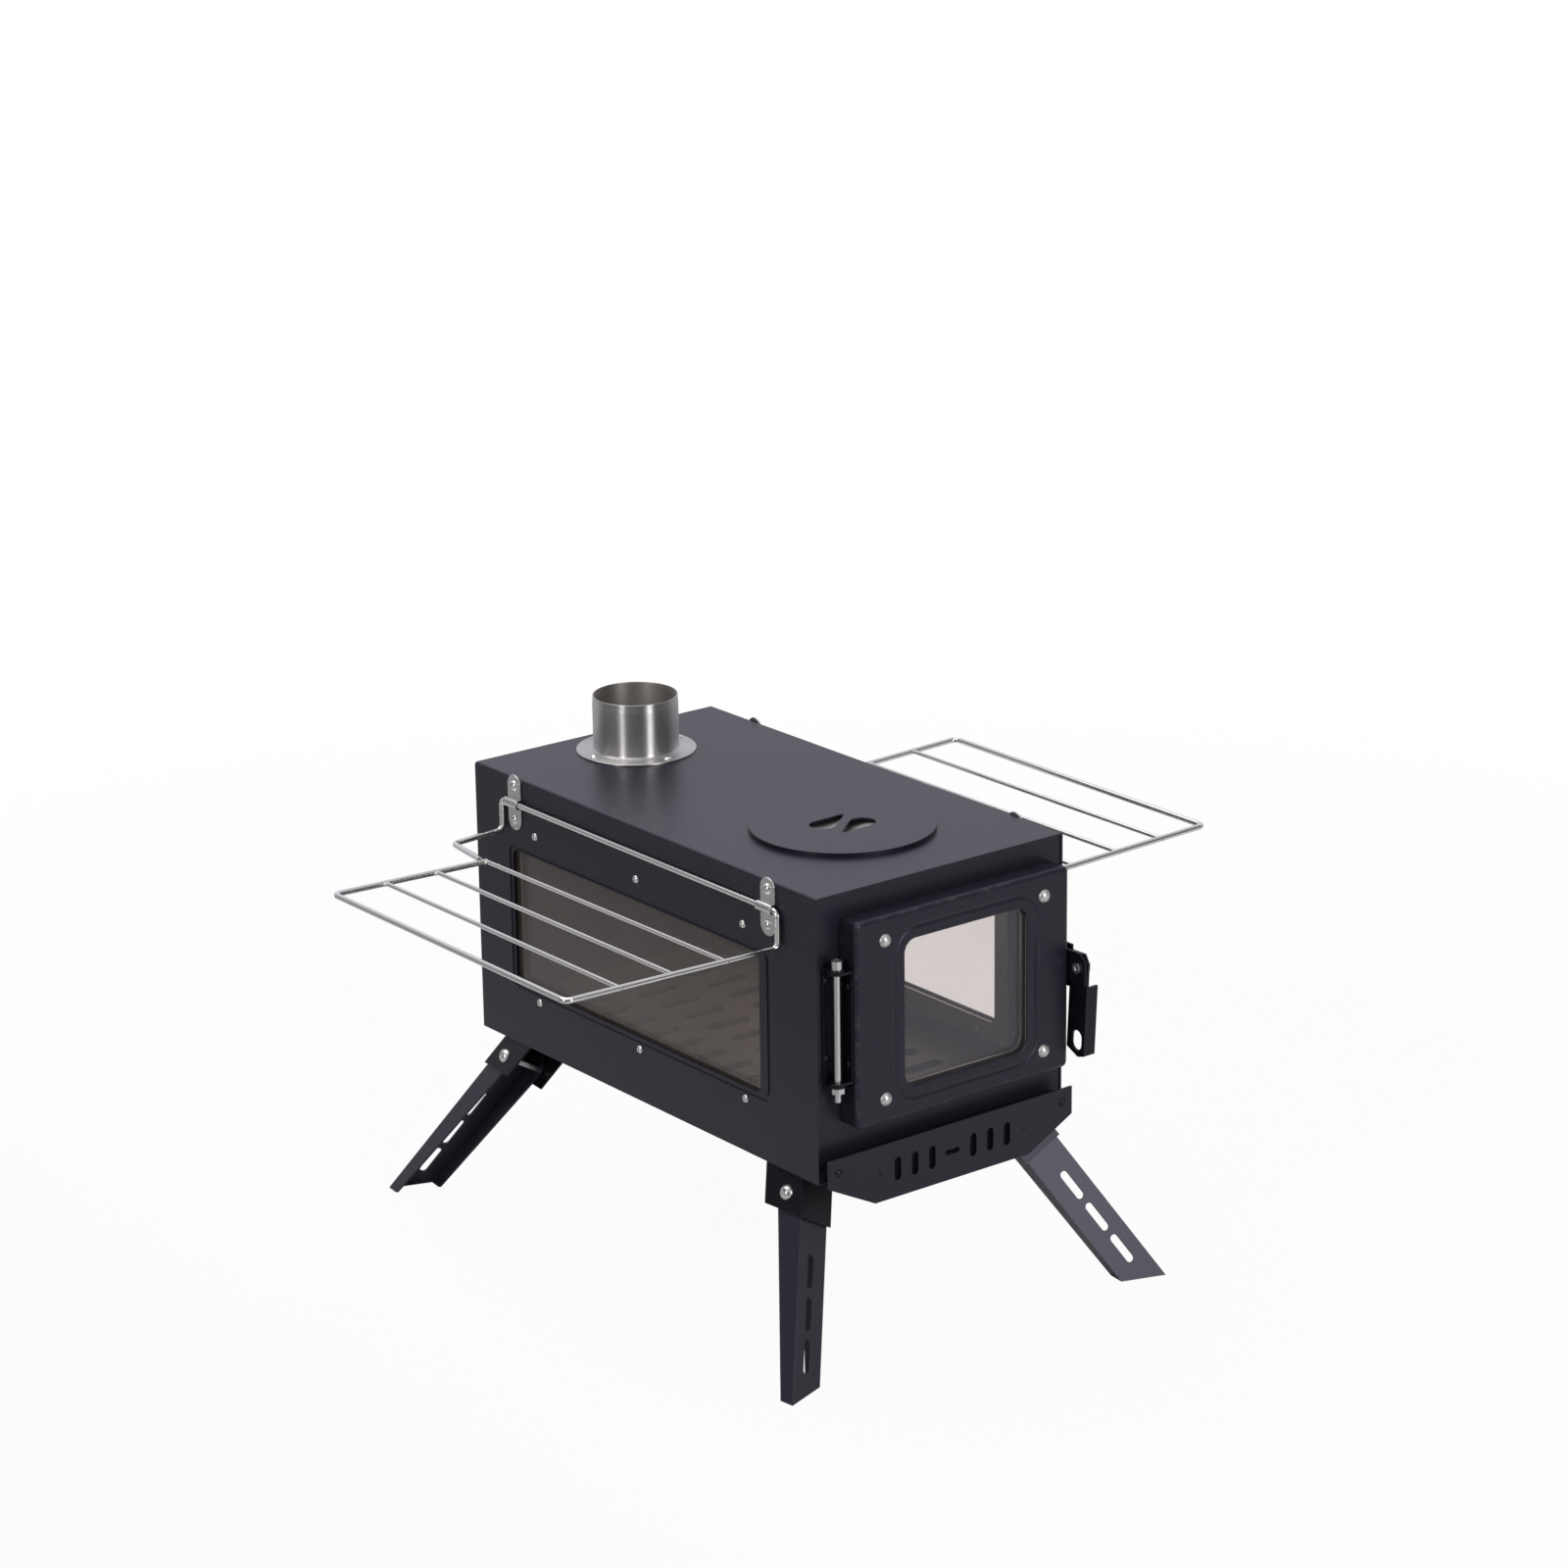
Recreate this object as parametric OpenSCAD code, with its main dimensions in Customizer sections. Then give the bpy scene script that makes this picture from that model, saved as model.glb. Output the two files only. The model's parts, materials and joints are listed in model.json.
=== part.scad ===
// Tent wood stove: a sheet-steel box on four folding legs, with glass sides, a glass door,
// a lift-off top lid, a flue collar, an air control and two fold-up wire racks.
// X runs to the right seen from the door, Y runs to the back and Z runs up from the ground.
// The origin is on the ground under the middle of the stove.

/* [Body] */
// Width of the firebox body
body_w = 207; // [180:1:260]
// Length of the firebox body, front to back
body_l = 380; // [360:1:460]
// Height of the firebox body
body_h = 195; // [185:1:240]
// Height of the body's underside over the ground
leg_clear = 122; // [100:1:160]
// Thickness of the body sheet
sheet_t = 1.5; // [1:0.1:2.5]
// Inner bend radius of the long top edges
bend_in_r = 0.7; // [0.3:0.1:3]
// Set-back of the front and back panels inside the shell's ends
panel_inset = 0.8; // [0:0.1:3]

/* [Flue collar] */
// Outer diameter of the flue collar
flue_od = 60; // [50:1:70]
// Wall of the flue collar
flue_wall = 1; // [0.8:0.1:2]
// Height of the flue collar over the top plate
flue_rise = 40; // [25:1:60]
// Distance of the flue's axis from the back of the body
flue_from_back = 48; // [46:1:70]
// Diameter of the collar's flange
flue_flange_d = 84; // [82:1:90]
// Thickness of the collar's flange
flue_flange_t = 1.2; // [1:0.1:2]
// Diameter of the circle of flange rivets
flue_rivet_circle = 72; // [71:0.5:73]
// Number of flange rivets
flue_rivet_count = 4; // [3:1:6]

/* [Lid] */
// Outer diameter of the lift-off lid
lid_d = 124.5; // [110:0.5:130]
// Distance of the lid's centre from the front of the body
lid_from_front = 102; // [90:1:125]
// Height of the lid's top over the top plate
lid_rise = 3; // [2.6:0.1:5]
// Thickness of the lid sheet
lid_t = 1.5; // [1:0.1:2]
// How far the lid laps over the edge of its hole
lid_lap = 7; // [5:0.5:9]
// Outer diameter of the grip cup under the lid
cup_d = 62; // [54:1:70]
// Depth of the grip cup
cup_depth = 13; // [10:0.5:20]
// Thickness of the grip cup
cup_t = 1; // [0.8:0.1:1.5]

/* [Side windows] */
// Length of each side window opening
win_l = 277; // [240:1:280]
// Height of each side window opening
win_h = 97; // [80:1:105]
// Corner radius of each side window opening
win_r = 5; // [3:0.5:10]
// Offset of the window's middle behind the body's middle
win_back = 8.5; // [4:0.5:10]
// Height of the window's middle over the body's underside
win_z = 94; // [90:1:105]
// Thickness of the side glass
glass_t = 3; // [2:0.5:5]
// Width of the band where glass and gasket lap the window edge
glass_lap = 7; // [5:0.5:8]
// Spacing of the window screws along the body
win_screw_l = 116.5; // [100:0.5:120]
// Distance between the upper and lower rows of window screws
win_screw_h = 121; // [119:0.5:124]
// Height of the middle between those rows over the body's underside
win_screw_z = 97.5; // [95:0.5:106]

/* [Door] */
// Width of the door
door_w = 179; // [165:1:181]
// Height of the door
door_h = 140.5; // [130:0.5:150]
// Depth of the door's pan
door_d = 16.5; // [15:0.5:22]
// Offset of the door's middle to the right of the body's middle
door_x = 5.5; // [4:0.5:7]
// Height of the door's middle over the body's underside
door_z = 108; // [100:0.5:115]
// Width of the door's glass opening
door_win_w = 103; // [80:1:108]
// Height of the door's glass opening
door_win_h = 100; // [80:1:102]
// Corner radius of the door's glass opening
door_win_r = 9; // [5:0.5:14]
// Offset of the door's glass opening to the right of the door's middle
door_win_x = 2; // [0:0.5:3]
// Spacing of the door screws across the door
door_screw_w = 134; // [130:0.5:136]
// Spacing of the door screws up the door
door_screw_h = 108; // [100:0.5:112]
// Width of the stamped groove round each window
groove_w = 3; // [1:0.5:4]
// Depth of the stamped groove
groove_d = 0.7; // [0.3:0.1:0.8]

/* [Hinge and latch] */
// Height of the hinge, over both ears
hinge_h = 80; // [60:1:100]
// Diameter of the hinge bolt
hinge_pin_d = 4.5; // [4:0.5:6]
// Distance of the hinge bolt from the front panel
hinge_pin_out = 8.5; // [8:0.5:12]
// Thickness of hinge, latch and leg bracket plate
bracket_t = 1.5; // [1.2:0.1:2]
// Height of the latch bolt over the body's underside
latch_z = 109.5; // [100:0.5:115]
// Distance of the latch bolt from the front panel
latch_out = 25.5; // [24:0.5:28]
// Length of the latch handle
latch_h = 74; // [60:1:85]
// Thickness of the latch handle
latch_t = 1.8; // [1.5:0.1:2.5]
// Width of the handle's finger flange
latch_grip_w = 8; // [6:0.5:12]

/* [Air control] */
// Distance between the front panel and the air cover
air_gap = 10; // [9:0.5:14]
// Height of the air cover
air_h = 39; // [36:1:44]
// Height of the air cover's top over the body's underside
air_top = 20; // [18:0.5:24]
// Width of each air slot
air_slot_w = 5.5; // [4:0.5:6]
// Height of each air slot
air_slot_h = 16; // [12:0.5:18]
// Spacing of neighbouring air slots
air_pitch = 14.5; // [14:0.5:16]
// Travel of the air slider
air_travel = 8; // [7:0.5:9]

/* [Legs] */
// Width of each leg's front face
leg_w = 27.5; // [22:0.5:32]
// Thickness of the leg sheet
leg_t = 1.6; // [1.4:0.1:3]
// Depth of each leg at its bolt
leg_depth_top = 20; // [18:0.5:24]
// Depth of each leg at its foot
leg_depth_foot = 9; // [6:0.5:14]
// Sideways splay of each leg
leg_splay = 30.5; // [26:0.5:34]
// Forward or backward lean of each leg
leg_lean = 23; // [18:0.5:26]
// Turn of each leg about the upright
leg_turn = 7; // [4:0.5:10]
// Diameter of the leg bolts
leg_bolt_d = 6; // [4:0.5:6]
// Length of each slot in a leg
leg_slot_l = 23; // [18:1:26]
// Width of each slot in a leg
leg_slot_w = 5.6; // [4:0.2:7]

/* [Racks] */
// How far each rack reaches out from the body's side
rack_reach = 165; // [120:1:190]
// Width of each rack along the body
rack_w = 264; // [240:1:280]
// How far the outer wire's front end stands back from the drop
rack_skew = 5; // [0:0.5:8]
// Depth of the rack's outer wire below its rod
rack_drop = 23.2; // [18:0.2:30]
// How far the shelf falls towards the body at its front
rack_fall_front = 1.5; // [0:0.5:4]
// How far the shelf falls towards the body at its back
rack_fall_back = 4.5; // [0:0.5:6]
// Diameter of the rack's frame wire
rack_wire_d = 4; // [3:0.5:5]
// Diameter of the rack's cross wires
cross_wire_d = 3; // [2:0.5:4]
// Number of cross wires
cross_wires = 3; // [2:1:5]
// Height of the rack's rod over the body's underside
rack_rod_z = 177.5; // [172:0.5:177.5]

/* [Hidden] */

$fn = 48;
eps = 0.01;
// Clearance of a shaft in its hole, on the radius
run_fit = 0.05;
// Gap between faces of pieces that move past each other
slip_gap = 0.3;
// Reach of a cutting solid past the faces that it cuts
cut = 1;

paint = [0.19, 0.18, 0.20];
dark_paint = [0.12, 0.12, 0.13];
steel = [0.75, 0.75, 0.74];
bright_steel = [0.85, 0.85, 0.86];
smoked_glass = [0.35, 0.31, 0.29, 0.5];
fibre = [0.80, 0.78, 0.72];
iron = [0.30, 0.29, 0.29];

// Outer bend radius of the long top edges
bend_r = bend_in_r + sheet_t;

// Planes of the body
side_x = body_w / 2;
front_y = -body_l / 2;
back_y = body_l / 2;
base_z = leg_clear;
top_z = base_z + body_h;
panel_y = front_y + panel_inset;
wall_x = side_x - sheet_t;

// ---------- plain helpers ----------

function unit(v) = v / norm(v);

// A rounded rectangle about the origin
module round_rect(w, h, r) {
    square([w - 2 * r, h], center = true);
    square([w, h - 2 * r], center = true);
    for (x = [-1, 1], y = [-1, 1])
        translate([x * (w / 2 - r), y * (h / 2 - r)]) circle(r);
}

// A slot about the origin, its length over both round ends along X
module slot(length, width) {
    square([length - width, width], center = true);
    for (x = [-1, 1]) translate([x * (length - width) / 2, 0]) circle(width / 2);
}

// Stands a drawing of X and Z upright, from y to y + t
module stand_xz(y, t) {
    translate([0, y + t, 0]) rotate([90, 0, 0]) linear_extrude(t) children();
}

// Stands a drawing of Y and Z upright, from x to x + t
module stand_yz(x, t) {
    translate([x, 0, 0]) rotate([90, 0, 90]) linear_extrude(t) children();
}

// A cylinder between two x planes
module bar_x(x0, x1, r) {
    translate([min(x0, x1), 0, 0]) rotate([0, 90, 0]) cylinder(h = abs(x1 - x0), r = r);
}

// A cylinder between two y planes
module bar_y(y0, y1, r) {
    translate([0, max(y0, y1), 0]) rotate([90, 0, 0]) cylinder(h = abs(y1 - y0), r = r);
}

// A low dome on z = 0
module dome(d, h) {
    ball_r = (d * d / 4 + h * h) / (2 * h);
    rotate_extrude() intersection() {
        translate([0, h - ball_r]) circle(ball_r, $fn = 96);
        square([d / 2, h]);
    }
}

// A domed screw along Z: its head on z = 0, its shank down to -length, a hexagon socket in it
module dome_screw(head_d, head_h, shank_d, length, socket_d) {
    difference() {
        union() {
            dome(head_d, head_h);
            translate([0, 0, -length]) cylinder(h = length + eps, d = shank_d);
        }
        translate([0, 0, head_h - socket_d * 0.45]) cylinder(h = head_h, d = socket_d, $fn = 6);
    }
}

// A rivet along Z: its head on z = 0 and its closed tail under z = -grip
module rivet(head_d, head_h, shank_d, grip) {
    dome(head_d, head_h);
    translate([0, 0, -grip]) cylinder(h = grip + eps, d = shank_d);
    translate([0, 0, -grip - head_h / 2]) cylinder(h = head_h / 2, d = shank_d * 1.6);
}

module hex_nut(across, h, bore_d) {
    difference() {
        cylinder(h = h, d = across / cos(30), $fn = 6);
        translate([0, 0, -cut]) cylinder(h = h + 2 * cut, d = bore_d + 2 * run_fit);
    }
}

// ---------- bent wire ----------

function turn_of(a, b, c) = acos(max(-1, min(1, unit(b - a) * unit(c - b))));
function setback(a, b, c, r) = r * tan(turn_of(a, b, c) / 2);

// The angles for rotate() that carry X to x, Y to y and Z to z
function frame_angles(x, y, z) =
    abs(x[2]) > 0.9999
        ? [0, x[2] > 0 ? -90 : 90, atan2(-y[0], y[1])]
        : [atan2(y[2], z[2]), -asin(x[2]), atan2(x[1], x[0])];

module wire_run(a, b, d) {
    v = b - a;
    translate(a) rotate([0, acos(v[2] / norm(v)), atan2(v[1], v[0])]) cylinder(h = norm(v), d = d);
}

module wire_bend(a, b, c, r, d) {
    u = unit(b - a);
    n = unit(cross(u, unit(c - b)));
    m = cross(n, u);
    start = b - u * setback(a, b, c, r);
    translate(start + m * r)
        rotate(frame_angles(-m, u, n))
            rotate_extrude(angle = turn_of(a, b, c)) translate([r, 0]) circle(d / 2);
}

// A ball a hair wider than the wire, where a straight run meets a bend. It is turned so that
// its poles lie off the wire's own seams.
module wire_joint(p, d) {
    proud = 0.03;
    translate(p) rotate([17, 31, 0]) sphere(d / 2 + proud);
}

// A wire through the points, with round bends of radius r
module wire(points, r, d) {
    last = len(points) - 1;
    for (i = [0 : last - 1]) {
        a = points[i];
        b = points[i + 1];
        u = unit(b - a);
        from = i == 0 ? a : a + u * setback(points[i - 1], a, b, r);
        to = i == last - 1 ? b : b - u * setback(a, b, points[i + 2], r);
        wire_run(from, to, d);
        if (i > 0) wire_joint(from, d);
        if (i < last - 1) wire_joint(to, d);
    }
    for (i = [1 : last - 1]) wire_bend(points[i - 1], points[i], points[i + 1], r, d);
}

// ---------- body ----------

win_y = win_back;
win_mid_z = base_z + win_z;
flue_y = back_y - flue_from_back;
lid_y = front_y + lid_from_front;
lid_hole_d = lid_d - 2 * lid_lap;

rivet_d = 3.2;
rivet_hole_d = rivet_d + 2 * run_fit;
win_screw_d = 3;
win_screw_lead = 5.5;
win_screw_y = [for (i = [-1 : 1]) win_y - win_screw_lead + i * win_screw_l];
win_screw_zs = [for (s = [-1, 1]) base_z + win_screw_z + s * win_screw_h / 2];

// Rack clips: places, size and screws
clip_w = 15;
clip_screw_gap = 24.5;
clip_screw_d = 4;
clip_inset = 48.5;
clip_ys = [front_y + clip_inset, back_y - clip_inset];
rod_z = base_z + rack_rod_z;

module shell_outline(w, h, r) {
    translate([-w / 2, 0]) square([w, h - r]);
    translate([-w / 2 + r, 0]) square([w - 2 * r, h]);
    for (s = [-1, 1]) translate([s * (w / 2 - r), h - r]) circle(r);
}

// Window opening, its groove and its screw holes, cut from the left side wall
module side_window_cuts() {
    gap_front = 8;
    gap_rear = 1;
    rim_l = win_l + gap_front + gap_rear;
    rim_y = win_y + (gap_rear - gap_front) / 2;
    translate([0, win_y, win_mid_z])
        stand_yz(-side_x - cut, sheet_t + 2 * cut) round_rect(win_l, win_h, win_r);
    translate([0, rim_y, win_mid_z]) stand_yz(-side_x - cut, groove_d + cut) difference() {
        round_rect(rim_l + 2 * groove_w, win_h + 2 * groove_w + 2, win_r + groove_w);
        round_rect(rim_l, win_h + 2, win_r);
    }
    for (y = win_screw_y, z = win_screw_zs)
        translate([0, y, z]) bar_x(-side_x - cut, -wall_x + cut, win_screw_d / 2 + run_fit);
}

// A side wall, up to the start of the bend at its top
module side_wall(s) {
    color(paint) on_side(s) difference() {
        translate([-side_x, front_y, base_z]) cube([sheet_t, body_l, body_h - bend_r]);
        side_window_cuts();
        for (y = clip_ys, up = [-1, 1])
            translate([0, y, rod_z + up * clip_screw_gap / 2])
                bar_x(-side_x - cut, -wall_x + cut, clip_screw_d / 2 + run_fit);
    }
}

// The top plate with its two bent-down edges, which run on into the side walls
module top_plate() {
    color(paint) difference() {
        translate([0, 0, base_z]) stand_xz(front_y, body_l) intersection() {
            difference() {
                shell_outline(body_w, body_h, bend_r);
                translate([0, -cut])
                    shell_outline(body_w - 2 * sheet_t, body_h - sheet_t + cut, bend_r - sheet_t);
            }
            translate([-side_x, body_h - bend_r]) square([body_w, bend_r]);
        }
        for (y = clip_ys)
            translate([0, y, rod_z + clip_screw_gap / 2])
                bar_x(-side_x - cut, side_x + cut, clip_screw_d / 2 + run_fit);
        translate([0, flue_y, top_z - sheet_t - cut])
            cylinder(h = sheet_t + 2 * cut, d = flue_od - 2 * flue_wall, $fn = 96);
        flue_rivet_places() translate([0, 0, -sheet_t - cut])
            cylinder(h = sheet_t + 2 * cut, d = rivet_hole_d);
        translate([0, lid_y, top_z - sheet_t - cut])
            cylinder(h = sheet_t + 2 * cut, d = lid_hole_d, $fn = 128);
    }
}

// Door opening in the front panel
mouth_lap = 14;
mouth_w = door_w - 2 * mouth_lap;
mouth_h = door_h - 2 * mouth_lap;
door_mid_z = base_z + door_z;

// Inlets behind the air cover
inlet_count = 5;
inlet_l = 20;
inlet_w = 5;
inlet_z = 11;
inlet_pitch = 28;

module front_panel() {
    color(paint) difference() {
        translate([0, 0, base_z + sheet_t]) stand_xz(panel_y, sheet_t)
            shell_outline(body_w - 2 * sheet_t, body_h - 2 * sheet_t, bend_r - sheet_t);
        translate([door_x, 0, door_mid_z]) stand_xz(panel_y - cut, sheet_t + 2 * cut)
            round_rect(mouth_w, mouth_h, door_win_r);
        for (i = [0 : inlet_count - 1])
            translate([(i - (inlet_count - 1) / 2) * inlet_pitch, 0, base_z + inlet_z])
                stand_xz(panel_y - cut, sheet_t + 2 * cut) slot(inlet_l, inlet_w);
        hinge_body_rivet_places() translate([0, 0, -sheet_t - cut])
            cylinder(h = sheet_t + 2 * cut, d = rivet_hole_d);
        keeper_rivet_places() translate([0, 0, -sheet_t - cut])
            cylinder(h = sheet_t + 2 * cut, d = rivet_hole_d);
        air_rivet_places() translate([0, 0, -air_gap - sheet_t - cut])
            cylinder(h = sheet_t + 2 * cut, d = rivet_hole_d);
    }
}

module back_panel() {
    color(paint) translate([0, 0, base_z + sheet_t])
        stand_xz(back_y - panel_inset - sheet_t, sheet_t)
            shell_outline(body_w - 2 * sheet_t, body_h - 2 * sheet_t, bend_r - sheet_t);
}

module floor_panel() {
    color(paint) difference() {
        translate([-wall_x, front_y, base_z]) cube([2 * wall_x, body_l, sheet_t]);
        bracket_rivet_places() translate([0, 0, -cut])
            cylinder(h = sheet_t + 2 * cut, d = rivet_hole_d);
    }
}

// The grate stands on its bent-down sides
grate_z = 20;
grate_t = 2;
grate_side_gap = 4;
grate_end_gap = 4;
grate_slot_l = 34;
grate_slot_w = 8;
grate_pitch = 27.4;
grate_row_gap = 50;

module grate() {
    x = wall_x - grate_side_gap;
    l = body_l - 2 * (panel_inset + sheet_t + grate_end_gap);
    rows = floor((l / 2 - grate_pitch) / grate_pitch);
    color(iron) difference() {
        translate([-x, -l / 2, base_z + sheet_t]) cube([2 * x, l, grate_z - sheet_t]);
        translate([-x + grate_t, -l / 2 - cut, base_z])
            cube([2 * (x - grate_t), l + 2 * cut, grate_z - grate_t]);
        for (i = [-rows : rows]) {
            translate([0, (i - 0.5) * grate_pitch, base_z]) linear_extrude(grate_z + cut)
                slot(grate_slot_l, grate_slot_w);
            for (s = [-1, 1])
                translate([s * grate_row_gap, i * grate_pitch, base_z])
                    linear_extrude(grate_z + cut) slot(grate_slot_l, grate_slot_w);
        }
    }
}

// ---------- flue collar ----------

module flue_rivet_places() {
    for (i = [0 : flue_rivet_count - 1])
        translate([0, flue_y, top_z]) rotate([0, 0, i * 360 / flue_rivet_count])
            translate([flue_rivet_circle / 2, 0, 0]) children();
}

module flue_collar() {
    color(bright_steel) difference() {
        translate([0, flue_y, top_z]) {
            cylinder(h = flue_rise, d = flue_od, $fn = 96);
            cylinder(h = flue_flange_t, d = flue_flange_d, $fn = 96);
        }
        translate([0, flue_y, top_z - cut])
            cylinder(h = flue_rise + 2 * cut, d = flue_od - 2 * flue_wall, $fn = 96);
        flue_rivet_places() translate([0, 0, -cut])
            cylinder(h = flue_flange_t + 2 * cut, d = rivet_hole_d);
    }
}

module flue_rivets() {
    color(bright_steel) flue_rivet_places() translate([0, 0, flue_flange_t])
        rivet(6.4, 1.8, rivet_d, flue_flange_t + sheet_t);
}

// ---------- lid ----------

tear_r = 8;
tear_lobe = [-11.5, 6];
tear_tip = [9.5, 13.5];
lid_ring_gap = 0.6;
lid_ring_t = 1.2;
lid_ring_h = 5;

// A drop-shaped hole: a round lobe with straight flanks that run to a small round tip
module teardrop() {
    tip_r = 1.2;
    v = tear_tip - tear_lobe;
    reach = norm(v);
    side = acos((tear_r - tip_r) / reach);
    dir = atan2(v[1], v[0]);
    flank = [for (s = [-1, 1]) [cos(dir + s * side), sin(dir + s * side)]];
    translate(tear_lobe) circle(tear_r);
    translate(tear_tip) circle(tip_r);
    polygon([
        tear_lobe + tear_r * flank[0],
        tear_tip + tip_r * flank[0],
        tear_tip + tip_r * flank[1],
        tear_lobe + tear_r * flank[1],
    ]);
}

module lid_plate() {
    color(paint) translate([0, lid_y, top_z]) difference() {
        cylinder(h = lid_rise, d = lid_d, $fn = 128);
        translate([0, 0, -cut]) cylinder(h = lid_rise - lid_t + cut, d = lid_d - 2 * lid_t, $fn = 128);
        for (a = [0, 180]) rotate([0, 0, a]) linear_extrude(lid_rise + cut) teardrop();
    }
}

// The ring that keeps the lid in its hole
module lid_ring() {
    ring_d = lid_hole_d - 2 * lid_ring_gap;
    color(steel) translate([0, lid_y, top_z + lid_rise - lid_t - lid_ring_h]) difference() {
        cylinder(h = lid_ring_h, d = ring_d, $fn = 128);
        translate([0, 0, -cut])
            cylinder(h = lid_ring_h + 2 * cut, d = ring_d - 2 * lid_ring_t, $fn = 128);
    }
}

// The pressed cup that takes the fingers
module lid_cup() {
    rim = 4;
    bowl_r = cup_d / 2 - rim;
    ball_r = (bowl_r * bowl_r + cup_depth * cup_depth) / (2 * cup_depth);
    color(bright_steel) translate([0, lid_y, top_z + lid_rise - lid_t]) {
        difference() {
            translate([0, 0, -cup_t]) cylinder(h = cup_t, d = cup_d, $fn = 64);
            translate([0, 0, -cup_t - cut]) cylinder(h = cup_t + 2 * cut, r = bowl_r - eps, $fn = 64);
        }
        intersection() {
            translate([0, 0, ball_r - cup_depth]) difference() {
                sphere(ball_r, $fn = 64);
                sphere(ball_r - cup_t, $fn = 64);
            }
            translate([0, 0, -cup_depth]) cylinder(h = cup_depth, r = bowl_r, $fn = 64);
        }
    }
}

// ---------- side windows ----------

gasket_t = 1.5;
clamp_t = 1.5;
clamp_edge = 6;

// Mirrors a left-hand piece for the right side
module on_side(s) {
    if (s < 0) children();
    else mirror([1, 0, 0]) children();
}

module side_gasket(s) {
    color(fibre) on_side(s) translate([0, win_y, win_mid_z]) stand_yz(-wall_x, gasket_t) difference() {
        round_rect(win_l + 2 * glass_lap, win_h + 2 * glass_lap, win_r);
        round_rect(win_l + 2, win_h + 2, win_r);
    }
}

module side_glass(s) {
    color(smoked_glass) on_side(s) translate([0, win_y, win_mid_z])
        stand_yz(-wall_x + gasket_t, glass_t)
            round_rect(win_l + 2 * glass_lap, win_h + 2 * glass_lap, win_r);
}

// The frame that holds the glass from inside, drawn out to the window screws
module side_clamp(s) {
    frame_l = win_l + 2 * (glass_lap + clamp_edge);
    frame_h = win_screw_h + 2 * clamp_edge;
    color(steel) on_side(s) difference() {
        translate([0, win_y, base_z + win_screw_z])
            stand_yz(-wall_x + gasket_t + glass_t, clamp_t) round_rect(frame_l, frame_h, win_r);
        translate([0, win_y, win_mid_z])
            stand_yz(-wall_x + gasket_t + glass_t - cut, clamp_t + 2 * cut)
                round_rect(win_l, win_h, win_r);
        for (y = win_screw_y, z = win_screw_zs)
            translate([0, y, z]) bar_x(-side_x, 0, win_screw_d / 2 + run_fit);
    }
}

module window_screws() {
    nut_h = 2.4;
    grip = sheet_t + gasket_t + glass_t + clamp_t;
    color(bright_steel) for (s = [-1, 1]) on_side(s)
        for (y = win_screw_y, z = win_screw_zs)
            translate([-side_x, y, z]) rotate([0, -90, 0]) {
                dome_screw(5.8, 1.8, win_screw_d, grip + nut_h + 1, 2.2);
                translate([0, 0, -grip - nut_h]) hex_nut(5.5, nut_h, win_screw_d);
            }
}

// ---------- racks ----------

rod_out = rack_wire_d / 2 + 0.5;
clip_t = 1.2;
clip_shell_r = rack_wire_d / 2 + slip_gap + clip_t;

// One saddle clip about the rod's axis; X runs out from the wall
module saddle_clip() {
    bore_r = rack_wire_d / 2 + slip_gap;
    translate([0, -clip_w / 2, 0]) rotate([-90, 0, 0]) linear_extrude(clip_w) difference() {
        intersection() {
            union() {
                circle(clip_shell_r);
                translate([-rod_out, -clip_shell_r]) square([rod_out, 2 * clip_shell_r]);
            }
            translate([-rod_out, -clip_shell_r]) square(2 * clip_shell_r);
        }
        circle(bore_r);
        translate([-rod_out - cut, -bore_r]) square([rod_out + cut, 2 * bore_r]);
    }
    for (s = [-1, 1]) difference() {
        translate([-rod_out, 0, 0]) rotate([90, 0, 90]) linear_extrude(clip_t) difference() {
            union() {
                translate([0, s * clip_screw_gap / 2]) circle(clip_w / 2);
                translate([-clip_w / 2, s > 0 ? clip_shell_r - eps : -clip_screw_gap / 2])
                    square([clip_w, clip_screw_gap / 2 - clip_shell_r + eps]);
            }
            translate([0, s * clip_screw_gap / 2]) circle(clip_screw_d / 2 + run_fit);
        }
    }
}

// Places of the clips on both sides, with X out from the wall
module clip_places() {
    for (s = [-1, 1], y = clip_ys)
        translate([s * (side_x + rod_out), y, rod_z]) rotate([0, 0, s > 0 ? 0 : 180]) children();
}

module rack_clips() {
    color(steel) clip_places() saddle_clip();
}

module rack_clip_screws() {
    nut_h = 3;
    grip = clip_t + sheet_t;
    color(bright_steel) clip_places() for (s = [-1, 1])
        translate([-rod_out + clip_t, 0, s * clip_screw_gap / 2]) rotate([0, 90, 0]) {
            difference() {
                dome_screw(7.6, 2.4, clip_screw_d, grip + nut_h + 1, 0.1);
                for (a = [0, 90]) rotate([0, 0, a])
                    translate([-2, -0.5, 1.2]) cube([4, 1, 2]);
            }
            translate([0, 0, -grip - nut_h]) hex_nut(5.5, nut_h, clip_screw_d);
        }
}

rod_x = -side_x - rod_out;
shelf_z = rod_z - rack_drop;
bar_step = (rack_reach - rod_out) / (cross_wires + 1);
drop_front = clip_ys[0] - clip_w / 2 - 4.5;
rack_front = drop_front + rack_skew;
rack_back = rack_front + rack_w;

// Share of the way out from the rod to the outer wire
function way_out(x) = (rod_x - x) / (rack_reach - rod_out);
// Height of the shelf's front and back wires at a place x
function front_z(x) = shelf_z - rack_fall_front * (1 - way_out(x));
function back_z(x) = shelf_z - rack_fall_back * (1 - way_out(x));

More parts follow.
